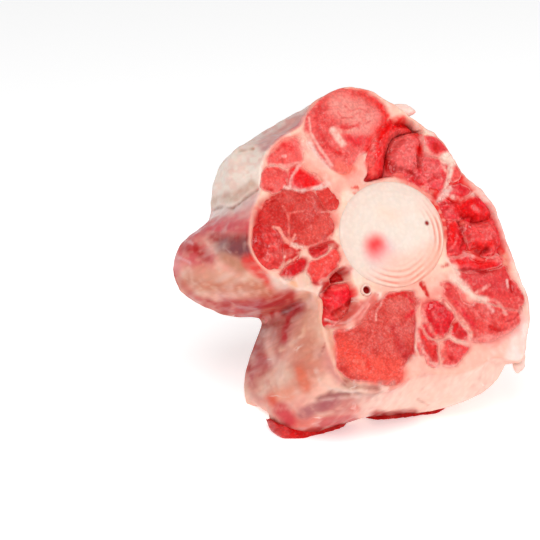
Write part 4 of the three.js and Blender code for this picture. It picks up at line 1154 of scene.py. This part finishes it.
def spun_torus(rows, columns):
    """A plain torus, and the row and column of each of its corners"""
    bm = bmesh.new()
    bmesh.ops.create_circle(bm, segments=rows, radius=1)
    bmesh.ops.rotate(bm, verts=bm.verts, matrix=Matrix.Rotation(math.pi / 2, 3, "X"))
    bmesh.ops.translate(bm, verts=bm.verts, vec=(TORUS_RADIUS, 0, 0))
    bmesh.ops.spin(bm, geom=bm.verts[:] + bm.edges[:], axis=(0, 0, 1), cent=(0, 0, 0), angle=2 * math.pi,
                   steps=columns, use_merge=True)
    at = rows_of(bm)
    column = np.arctan2(at[:, 1], at[:, 0]) / (2 * math.pi) * columns
    row = np.arctan2(at[:, 2], np.hypot(at[:, 0], at[:, 1]) - TORUS_RADIUS) / (2 * math.pi) * rows
    return bm, np.rint(row).astype(int) % rows, np.rint(column).astype(int) % columns


torus, torus_row, torus_column = spun_torus(sum(ROWS.values()), COLUMNS)
print("corners of the torus:", len(torus.verts), "faces:", len(torus.faces))


# %% Smooth form of the fat
def fat_form(row, column):
    """Angle, radius and depth of each corner, and the direction outwards, as shares of radius and depth"""
    counts = np.array(list(ROWS.values()))
    starts = np.concatenate([[0], np.cumsum(counts)[:-1]])
    stage = np.searchsorted(starts, row, side="right") - 1
    t = (row - starts[stage]) / counts[stage]
    angle = 2 * math.pi * column / COLUMNS
    lean = np.sin(angle)
    front_reach, back_reach = (skin_reach(angle, np.full(len(angle), w)) for w in READ_AT.values())
    back_edge = BACK_CUT + BACK_LEAN * back_reach * lean - RIM
    side_w = FAT_LEVEL + RIM + t * (back_edge - FAT_LEVEL - RIM)
    a = t * math.pi / 2
    radius = np.choose(stage, [
        BORE + (front_reach - RIM - BORE) * t,
        front_reach - RIM * (1 - np.sin(a)),
        skin_reach(angle, side_w),
        back_reach - RIM * (1 - np.cos(a)),
        back_reach - RIM + (BORE - back_reach + RIM) * t,
        np.full(len(row), BORE)])
    back_w = BACK_CUT + BACK_LEAN * radius * lean
    depth = np.choose(stage, [
        np.full(len(row), FAT_LEVEL),
        FAT_LEVEL + RIM * (1 - np.cos(a)),
        side_w,
        back_edge + RIM * np.sin(a),
        back_w,
        back_w + (FAT_LEVEL - back_w) * t])
    out_r = np.choose(stage, [0 * a, np.sin(a), 1 + 0 * a, np.cos(a), 0 * a, -1 + 0 * a])
    out_w = np.choose(stage, [-1 + 0 * a, -np.cos(a), 0 * a, np.sin(a), 1 + 0 * a, 0 * a])
    return stage, angle, radius, depth, out_r, out_w


def placed(angle, radius, depth):
    """Points in slice millimetres from their angle, radius and depth"""
    return np.column_stack([radius * np.cos(angle), radius * np.sin(angle), depth])


stage, angle, radius, depth, out_r, out_w = fat_form(torus_row, torus_column)
points = placed(angle, radius, depth)
print("fat from", points.min(0).round(1), "to", points.max(0).round(1))


# %% Folds, webs and hollows
def skin_relief(points):
    """Soft lumps, folds that run along the tail, and fine wrinkles, in mm outwards"""
    along = points * (1, 1, 0.3)
    wrinkles = 0.16 * rough(points * (1, 1, 0.15), 2.0, 37, 2)
    return 0.6 * rough(points, 11, 31) + 0.45 * rough(along, 4.2, 34) + wrinkles


def web_relief(inside, level, xy, side, to_bone):
    """How far the fat stands out of its level beside meat, or drops under it"""
    lip = 0.3 * bell(inside, -0.9, 0.8)
    below = np.maximum(SIGN[side] * (flat_level(xy, side) - level), 0) * smoothstep(0.8, 3.0, to_bone)
    return lip - smoothstep(-1.6, 0.3, inside) * below - smoothstep(-0.15, 0.9, inside) * HOLLOW_BELOW


def skin_tint(points, off_cut):
    """Cream fat, with rosy and mauve patches where membrane lies over meat"""
    along = points * (1, 1, 0.4)
    tint = np.tile(linear((250, 190, 172)), (len(points), 1))
    paint(tint, 0.85 * smoothstep(0, 0.5, rough(along, 15, 111)), (254, 216, 192))
    paint(tint, off_cut * 0.8 * smoothstep(0.05, 0.6, rough(along, 13, 115)), (230, 104, 92))
    paint(tint, off_cut * 0.7 * smoothstep(0.2, 0.7, rough(along, 10, 119)), (196, 76, 84))
    paint(tint, 0.4 * smoothstep(0.1, 0.8, rough(points, 5, 123)), (250, 168, 156))
    return tint


def streaks(tint, points, off_cut):
    """Fine streaks along the tail, pale and rosy in turn"""
    along = points * (1, 1, 0.12)
    paint(tint, off_cut * 0.25 * smoothstep(0.1, 0.7, rough(along, 2.6, 127, 2)), (252, 222, 210))
    paint(tint, off_cut * 0.2 * smoothstep(0.1, 0.7, rough(along, 2.2, 131, 2)), (206, 98, 92))


def shape_cut(side, on_cut):
    """Relief and tint of the fat on one cut, with a hollow wherever meat lies"""
    xy = points[on_cut, :2]
    inside, level, table = edges_of_meat(xy, side)
    to_bone = -table[-2]
    inside = np.maximum(inside, -to_bone - 1.0)
    flat = in_space(xy, side, 50)
    cut_rough = 0.22 * rough(flat, 3.2, 41) + 0.06 * noise(flat, 0.9, 45)
    near_skin = smoothstep(3.0, 0.2, to_skin(xy, side))
    kept = relief[on_cut] * near_skin
    relief[on_cut] = kept + (1 - near_skin) * cut_rough + web_relief(inside, level, xy, side, to_bone)
    relief[on_cut] -= artery_hollow(xy)
    painted = fat_tint[on_cut]
    off_bone = smoothstep(1.0, 2.2, to_bone)
    paint(painted, 0.6 * smoothstep(-1.0, -0.1, inside) * off_bone, (247, 146, 132))
    paint(painted, 0.6 * smoothstep(0.1, 0.7, rough(flat * (1, 1, 0), 3.4, 47)), (253, 226, 214))
    # painted shade: where the fat drops under the meat its wall is dark red, partly the meat's own red and
    # partly the shade in the narrow gap
    paint(painted, smoothstep(-0.1, 0.3, inside) * off_bone, (150, 6, 18))
    fat_tint[on_cut] = painted


relief = skin_relief(points)
off_cut = np.choose(stage, [0 * radius, out_r, 1 + 0 * radius, out_r, 0 * radius, 0 * radius])
fat_tint = skin_tint(points, off_cut)
shape_cut("front", (stage == 0) | (stage == 1))
shape_cut("back", (stage == 3) | (stage == 4))

# %% Strokes on the fat
on_front = 1 - smoothstep(0.2, 0.8, np.where(stage == 0, 0, np.where(stage == 1, out_r, 1)))
on_front *= stage < 2
points = placed(angle, radius, depth)
place_corners(torus, points)
toward = np.array(to_slice(camera.location[:])) - points
facing = (toward * outward_of(torus)).sum(1) / np.linalg.norm(toward, axis=1)
relief -= retouch(points, fat_tint, WEB_STROKES, on_front)
relief -= retouch(points, fat_tint, CUT_STROKES, on_front)
relief -= retouch(points, fat_tint, SKIN_STROKES, (1 - on_front) * smoothstep(-0.25, 0.0, facing))
streaks(fat_tint, points, off_cut)
points = placed(angle, radius + relief * out_r, depth + relief * out_w)
print("relief of the fat in mm:", relief.min().round(1), "to", relief.max().round(1))

# %% The fat piece
place_corners(torus, points)
fat = make_piece("fat", torus, fat_tint, FAT_LOOK, ["fat_upper", "fat_lobe", "fat_lower"])
print("faces of the fat:", len(fat.data.polygons))


# %% [markdown]
# ## Bundles of meat
# Each bundle is one solid that runs from cut to cut. A fine grid is laid over its outline, what lies
# outside is cut away, and three extrusions carry it through the fat to the back cut. Then the corners of
# both ends get the bundle's swell and grain, and the edge dips under the fat, so no gap can open.

# %% Grid, cut out and carried through
CELL = 0.3  # mm
EDGE_UNDER_FAT = 0.8  # mm that a bundle reaches past its visible edge
STATIONS = [0, 13, 32, 62]  # depths in mm
LAST = len(STATIONS) - 1
GRID_MARGIN = 3  # mm that the grid reaches past the outline
END_ROOM, SIDE_ROOM = 0.3, 2.5  # mm that a bundle stays inside the skin, at its ends and between them


def meat_block(name):
    """A bundle as a block of fine cells, and for each corner its place on the front cut and its station"""
    loop = BUNDLES[name]["outline"]["front"]
    low, high = loop.min(0) - GRID_MARGIN, loop.max(0) + GRID_MARGIN
    cells = np.ceil((high - low) / CELL).astype(int)
    bm = bmesh.new()
    bmesh.ops.create_grid(bm, x_segments=int(cells[0]), y_segments=int(cells[1]), size=0.5)
    bmesh.ops.scale(bm, verts=bm.verts, vec=(*(high - low), 1))
    bmesh.ops.translate(bm, verts=bm.verts, vec=(*((high + low) / 2), 0))
    xy = rows_of(bm)[:, :2]
    inside = depth_in(name, xy, "front")
    outside = [f for f in bm.faces if max(inside[v.index] for v in f.verts) < -EDGE_UNDER_FAT]
    bmesh.ops.delete(bm, geom=outside, context="FACES")
    layer = bm.faces[:]
    for station in range(1, LAST + 1):
        made = bmesh.ops.extrude_face_region(bm, geom=layer, use_keep_orig=station == 1)["geom"]
        layer = [g for g in made if isinstance(g, bmesh.types.BMFace)]
        bmesh.ops.translate(bm, verts=[g for g in made if isinstance(g, bmesh.types.BMVert)], vec=(0, 0, 1))
    bm.verts.index_update()
    at = rows_of(bm)
    return bm, at[:, :2], np.rint(at[:, 2]).astype(int)


def depth_in(name, xy, side):
    """How far inside one bundle's grown edge each point of a cut lies"""
    index = list(BUNDLES).index(name)
    inside = meat_depth(distances(wobbled(xy, side), side), index)
    return np.minimum(inside, to_skin(xy, side) - SKIN_OVER_MEAT)


def carried_back(name, xy):
    """Where points of the front cut come out at the back cut"""
    front, back = BUNDLES[name]["front"][:, :2], BUNDLES[name]["back"][:, :2]
    near = 1 / (((xy[:, None] - front) ** 2).sum(2) + 0.01)
    return xy + (near[:, :, None] * (back - front)).sum(1) / near.sum(1)[:, None]


# %% Ends of a bundle
GRAINS = {  # size in mm and height in mm of the grain and of the lumps
    "granular": (0.9, 0.14, 3.6, 0.25),
    "salmon": (1.5, 0.26, 4.0, 0.45),
    "crimson": (1.5, 0.32, 3.4, 0.7),
}


def grain_of(name, xy, side):
    """The fine grain and the lumps of a cut end, as noise"""
    grain, _, lump, _ = GRAINS[MEAT[name]["kind"]]
    flat = in_space(xy, side, 60)
    return rough(flat, grain, 51, 2), rough(flat, lump, 54, 2)


def end_depth(name, xy, inside, side):
    """Depth of a bundle's cut end: swollen in the middle, grained, and dipping under the fat at its edge"""
    _, grain_height, _, lump_height = GRAINS[MEAT[name]["kind"]]
    fine, lumps = grain_of(name, xy, side)
    level = bundle_level(name, xy, side)
    fat_level = cut_level(xy, side)
    edge = fat_level - SIGN[side] * np.maximum(SIGN[side] * (fat_level - level), 0)
    swell = 1 - (1 - np.clip(inside / max(inside.max(), 1), 0, 1)) ** 2
    relief = grain_height * fine + lump_height * lumps
    top = level + SIGN[side] * (BUNDLES[name]["dome"][side] * swell + relief)
    share = smoothstep(0, 1.5, inside)
    return edge * (1 - share) + top * share - SIGN[side] * 1.1 * np.maximum(-inside, 0)


def meat_tint(name, xy, inside, side):
    """The bundle's colour: paler on its lumps and grains and darker between them, partly the meat's own
    mottle and partly painted highlight and shade, with a film at its edge
    """
    tone = np.array(MEAT[name]["tone"], float)
    pale, deep = tone * 0.45 + np.array((253, 160, 150)) * 0.55, tone * (0.84, 0.3, 0.4)
    tint = np.tile(linear(tone), (len(xy), 1))
    fine, lumps = grain_of(name, xy, side)
    flat = in_space(xy, side, 60)
    broad = rough(flat, 6, 61)
    # lumps and fine are the same noise that raises the relief, so pale on them is partly painted highlight
    # and dark between them partly painted shade; broad is random tone
    for value, strength in ((broad, 0.4), (lumps, 0.45), (fine, 0.5)):
        paint(tint, strength * smoothstep(0.1, 0.8, value), pale)
        paint(tint, strength * smoothstep(-0.1, -0.8, value), deep)
    paint(tint, MEAT[name]["film"] * smoothstep(0.5, 0.05, inside), (250, 170, 160))
    return tint


def meat_piece(name):
    """One bundle of meat"""
    bm, xy, station = meat_block(name)
    back_xy = carried_back(name, xy)
    share = np.array(STATIONS)[station] / STATIONS[LAST]
    flat = xy + (back_xy - xy) * share[:, None]
    depth = np.array(STATIONS, float)[station]
    tint = np.tile(linear(MEAT[name]["tone"]), (len(xy), 1))
    for side, number in (("front", 0), ("back", LAST)):
        at = station == number
        inside = depth_in(name, flat[at], side)
        depth[at] = end_depth(name, flat[at], inside, side)
        tint[at] = meat_tint(name, flat[at], inside, side)
    front = station == 0
    painted = tint[front]
    depth[front] += retouch(np.column_stack([flat, depth])[front], painted, CUT_STROKES)
    tint[front] = painted
    angle, radius = np.arctan2(flat[:, 1], flat[:, 0]), np.linalg.norm(flat, axis=1)
    room = skin_reach(angle, depth) - np.where((station == 0) | (station == LAST), END_ROOM, SIDE_ROOM)
    radius = np.minimum(radius, room)
    place_corners(bm, placed(angle, radius, depth))
    node = MEAT_PREFIX + name
    return make_piece(name, bm, tint, MEAT_LOOKS[MEAT[name]["kind"]], [node])


MEAT_PIECES = {name: meat_piece(name) for name in BUNDLES}
faces = sum(len(p.data.polygons) for p in MEAT_PIECES.values())
print("bundles made:", len(MEAT_PIECES), "with faces:", faces)


# %% [markdown]
# ## The cut bone
# The joint end of the vertebra is a smooth dome of cartilage, cream with a rosy spot, with faint rings
# where it was worn. It is one profile, spun and stretched to an oval, and its relief is added after.

# %% Spin the bone
def spun_profile(profile, steps):
    """A closed form from pairs of radius and depth, spun round the depth axis"""
    bm = bmesh.new()
    points = [bm.verts.new((r, 0, w)) for r, w in profile]
    edges = [bm.edges.new(pair) for pair in zip(points[:-1], points[1:])]
    bmesh.ops.spin(bm, geom=points + edges, axis=(0, 0, 1), cent=(0, 0, 0), angle=2 * math.pi, steps=steps,
                   use_merge=True)
    bmesh.ops.remove_doubles(bm, verts=bm.verts, dist=1e-5)
    bm.verts.index_update()
    return bm


def bone_profile():
    """Radius as a share of the oval, and depth in mm, from the middle of the front to that of the back"""
    turn = np.linspace(0, math.pi / 2, 60)
    front = [(math.sin(a), 0.9 - 2.35 * math.cos(a) ** 0.8) for a in turn]
    waist = [(1.0, 3.0), (0.96, 12.0), (0.86, 24.0), (0.82, 32.0), (0.86, 42.0), (0.96, 54.0)]
    back = [(math.sin(a), 62.6 + 1.6 * math.cos(a) ** 0.8) for a in turn[::-1]]
    return front + waist + back


BONE_MIDDLE = 30  # mm, a depth between the two ends
END_FROM = 29  # mm from that middle, past which a corner is on a cut end
ROUND_BONE = 20  # mm; distances on the oval end are worked out as on a circle of this radius


def bone_piece():
    """The vertebra, from one spun profile"""
    bm = spun_profile(bone_profile(), 300)
    at = rows_of(bm) * (BONE_SIZE[0], BONE_SIZE[1], 1)
    out = np.where(at[:, 2] < BONE_MIDDLE, -1.0, 1.0)
    reach = np.hypot(at[:, 0] / BONE_SIZE[0], at[:, 1] / BONE_SIZE[1]) * ROUND_BONE
    low_right = smoothstep(-0.2, 0.9, np.cos(np.arctan2(at[:, 1], at[:, 0]) + math.radians(50)))
    worn = 0.35 + 0.65 * smoothstep(-0.5, 0.5, noise(at, 6, 79))
    waves = np.sin(reach * 3.1 + 2.6 * noise(at, 9, 81))
    rings = waves * smoothstep(8, 15, reach) * (0.15 + low_right) * worn
    relief = 0.2 * rings + 0.25 * rough(at, 5, 83)
    on_end = np.abs(at[:, 2] - BONE_MIDDLE) > END_FROM
    at[:, 2] += out * relief * on_end
    tint = bone_tint(at, reach, rings, low_right)
    place_corners(bm, at)
    return make_piece("bone", bm, tint, BONE_LOOK, ["vertebra"])


def bone_tint(at, reach, rings, low_right):
    """Cream cartilage with rosy rings, a soft coral spot and a dark dot"""
    tint = np.tile(linear((240, 221, 208)), (len(at), 1))
    paint(tint, 0.6 * smoothstep(12, 19, reach) * (0.15 + low_right), (246, 156, 134))
    paint(tint, 0.6 * smoothstep(-0.1, -0.9, rings) * smoothstep(10, 16, reach), (236, 120, 100))
    paint(tint, 0.6 * smoothstep(0.1, 0.9, rings) * smoothstep(10, 16, reach), (252, 230, 212))
    paint(tint, 0.35 * smoothstep(0.1, 0.8, rough(at, 7, 85)), (248, 214, 200))
    front = at[:, 2] < 10
    xy = at[:, :2]
    paint(tint, front * 0.6 * stroke(xy, [(-8.5, -4.5), (-4.5, -4.5)], 11, 3.5), (238, 182, 190))
    paint(tint, front * 0.97 * stroke(xy, [(-8.6, -2.7), (-7.6, -2.3)], 12.5, 3), (250, 74, 76))
    paint(tint, front * 0.5 * stroke(xy, [(-2, 8), (1, 6)], 8, 4), (252, 206, 180))
    paint(tint, front * 0.5 * stroke(xy, [(-3, -10), (6, -12), (12, -8)], 7, 4), (250, 186, 164))
    paint(tint, front * stroke(xy, [(13.6, 1.7)], 1.6, 0.4, 0.1), (150, 10, 28))
    return tint


bone = bone_piece()
print("faces of the bone:", len(bone.data.polygons))


# %% [markdown]
# ## The artery
# Under the bone a small vessel was cut across: a pale soft ring round a dark opening, half sunk in the
# fat. Its wall is a profile spun round the tube's own middle.

# %% Spin the artery
def artery_piece():
    """A tube with a soft rim and a dark opening at both cuts"""
    opening = [(0.0, 1.9), (0.8, 1.9), (1.05, 1.2), (1.25, 0.5)]
    end = opening + [(1.55, 0.1), (1.85, 0.4), (2.05, 1.3), (2.05, 4.0)]
    length = ARTERY_BOX[:, 2].max()
    bm = spun_profile(end + [(r, length - w) for r, w in end[::-1]], 40)
    bmesh.ops.subdivide_edges(bm, edges=bm.edges, cuts=1, smooth=0.5, use_grid_fill=True)
    at = rows_of(bm)
    reach = np.hypot(at[:, 0], at[:, 1])
    tint = np.tile(linear((250, 206, 192)), (len(at), 1))
    # the floor of the opening is painted dark red: partly the vessel's own red, partly painted shade of the
    # narrow hole
    paint(tint, smoothstep(1.5, 1.0, reach), (168, 12, 26))
    at[:, :2] *= (1 + 0.18 * noise(at, 2.5, 88))[:, None]
    place_corners(bm, at + (ARTERY_AT[0], ARTERY_AT[1], 0))
    return make_piece("artery_tube", bm, tint, BONE_LOOK, ["artery"])


artery = artery_piece()
print("artery at", ARTERY_AT.round(1), "faces:", len(artery.data.polygons))


# %% [markdown]
# ## Meat at the foot
# Two strips of dark wet meat show below the fat where the slice rests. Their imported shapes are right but
# flat sided, so a copy is remeshed into even small cells, rounded, and given the grain of wet meat.

# %% Remesh the foot strips
def remeshed(name, cell):
    """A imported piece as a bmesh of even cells"""
    mesh = bpy.data.meshes.new("raw")
    bm = merged_copy(name)
    bm.to_mesh(mesh)
    bm.free()
    raw = bpy.data.objects.new("raw", mesh)
    bpy.context.scene.collection.objects.link(raw)
    modifier = raw.modifiers.new("cells", "REMESH")
    modifier.mode = "VOXEL"
    modifier.voxel_size = cell * MM
    bm = bmesh.new()
    bm.from_object(raw, bpy.context.evaluated_depsgraph_get())
    bpy.data.objects.remove(raw)
    bpy.data.meshes.remove(mesh)
    every_axis = {"use_axis_x": True, "use_axis_y": True, "use_axis_z": True}
    for _ in range(6):
        bmesh.ops.smooth_vert(bm, verts=bm.verts, factor=0.5, **every_axis)
    bm.normal_update()
    return bm


def foot_piece(name):
    """A strip of meat under the fat"""
    bm = remeshed(name, 0.6)
    at = to_slice(rows_of(bm))
    out = outward_of(bm)
    at += out * (0.5 + 0.5 * rough(at, 3.5, 91) + 0.12 * noise(at, 1.2, 94))[:, None]
    angle, radius = np.arctan2(at[:, 1], at[:, 0]), np.linalg.norm(at[:, :2], axis=1)
    room = skin_reach(angle, at[:, 2]) + 1.8 + 0.6 * noise(at, 5, 97)
    at = placed(angle, np.minimum(radius, room), at[:, 2])
    tint = np.tile(linear((206, 16, 26)), (len(at), 1))
    paint(tint, 0.7 * smoothstep(0, 0.7, rough(at, 5, 95)), (226, 70, 64))
    place_corners(bm, at)
    plain = name.removeprefix(MEAT_PREFIX)
    return make_piece(plain, bm, tint, MEAT_LOOKS["crimson"], [name])


FEET = [foot_piece(name) for name in FEET_NODES]
print("foot strips:", [(p.name, len(p.data.polygons)) for p in FEET])


# %% [markdown]
# ## Loose ends of fat
# At the top right and at the right a scrap of fat hangs loose from the rim. Each is a small ball of
# cells, drawn out along a line and flattened, with a ragged surface.

# %% Draw out the loose ends
def loose_end(name, line, widths, thickness, seed):
    """A scrap of fat along a line given in slice millimetres"""
    bm = bmesh.new()
    bmesh.ops.create_icosphere(bm, subdivisions=5, radius=1)
    ball = rows_of(bm)
    line = np.array(line, float)
    t = (ball[:, 2] * 0.5 + 0.5) * (len(line) - 1)
    k = np.minimum(t.astype(int), len(line) - 2)
    centre = line[k] + (line[k + 1] - line[k]) * (t - k)[:, None]
    ahead = (line[-1] - line[0]) / np.linalg.norm(line[-1] - line[0])
    across = np.cross(ahead, (0, 0, 1))
    across /= np.linalg.norm(across)
    width = np.interp(t, range(len(widths)), widths)
    at = centre + across * (ball[:, :1] * width[:, None])
    at += np.cross(ahead, across) * ball[:, 1:2] * thickness
    at += (0.35 * rough(at, 2.2, seed))[:, None] * ball
    tint = np.tile(linear((250, 214, 202)), (len(at), 1))
    paint(tint, 0.6 * smoothstep(0, 0.6, rough(at, 3, seed + 3)), (240, 150, 140))
    place_corners(bm, at)
    return make_piece(name, bm, tint, FAT_LOOK, [])


TAGS = [
    loose_end("fat_scrap_top", [(10, 44.6, 4), (14, 44.4, 3.4), (18, 43.4, 3), (21.2, 42.4, 2.6)],
              (1.6, 2.3, 2.5, 1.6), 1.4, 101),
    loose_end("fat_scrap_side", [(41.6, -46, 5.5), (41, -50.5, 5.2), (39.8, -54, 5), (38.8, -56.4, 5)],
              (2.8, 2.8, 2.4, 1.8), 1.6, 105),
]
print("loose ends:", [p.name for p in TAGS])


# %% [markdown]
# ## Floor
# A plain pale table, wide enough that its edge is never seen.

# %% Lay the floor
def floor_piece():
    """A pale square that catches the soft shadow"""
    bm = bmesh.new()
    bmesh.ops.create_grid(bm, x_segments=1, y_segments=1, size=4)
    mesh = bpy.data.meshes.new("floor")
    bm.to_mesh(mesh)
    bm.free()
    material = bpy.data.materials.new("white table")
    material.use_nodes = True
    shader = material.node_tree.nodes["Principled BSDF"]
    shader.inputs["Base Color"].default_value = (0.9, 0.9, 0.9, 1)
    shader.inputs["Roughness"].default_value = 0.7
    shader.inputs["Emission Color"].default_value = (1, 1, 1, 1)
    shader.inputs["Emission Strength"].default_value = 0.45
    mesh.materials.append(material)
    floor = bpy.data.objects.new("floor", mesh)
    bpy.context.scene.collection.objects.link(floor)
    return floor


floor = floor_piece()
print("floor:", [round(x, 2) for x in floor.dimensions])
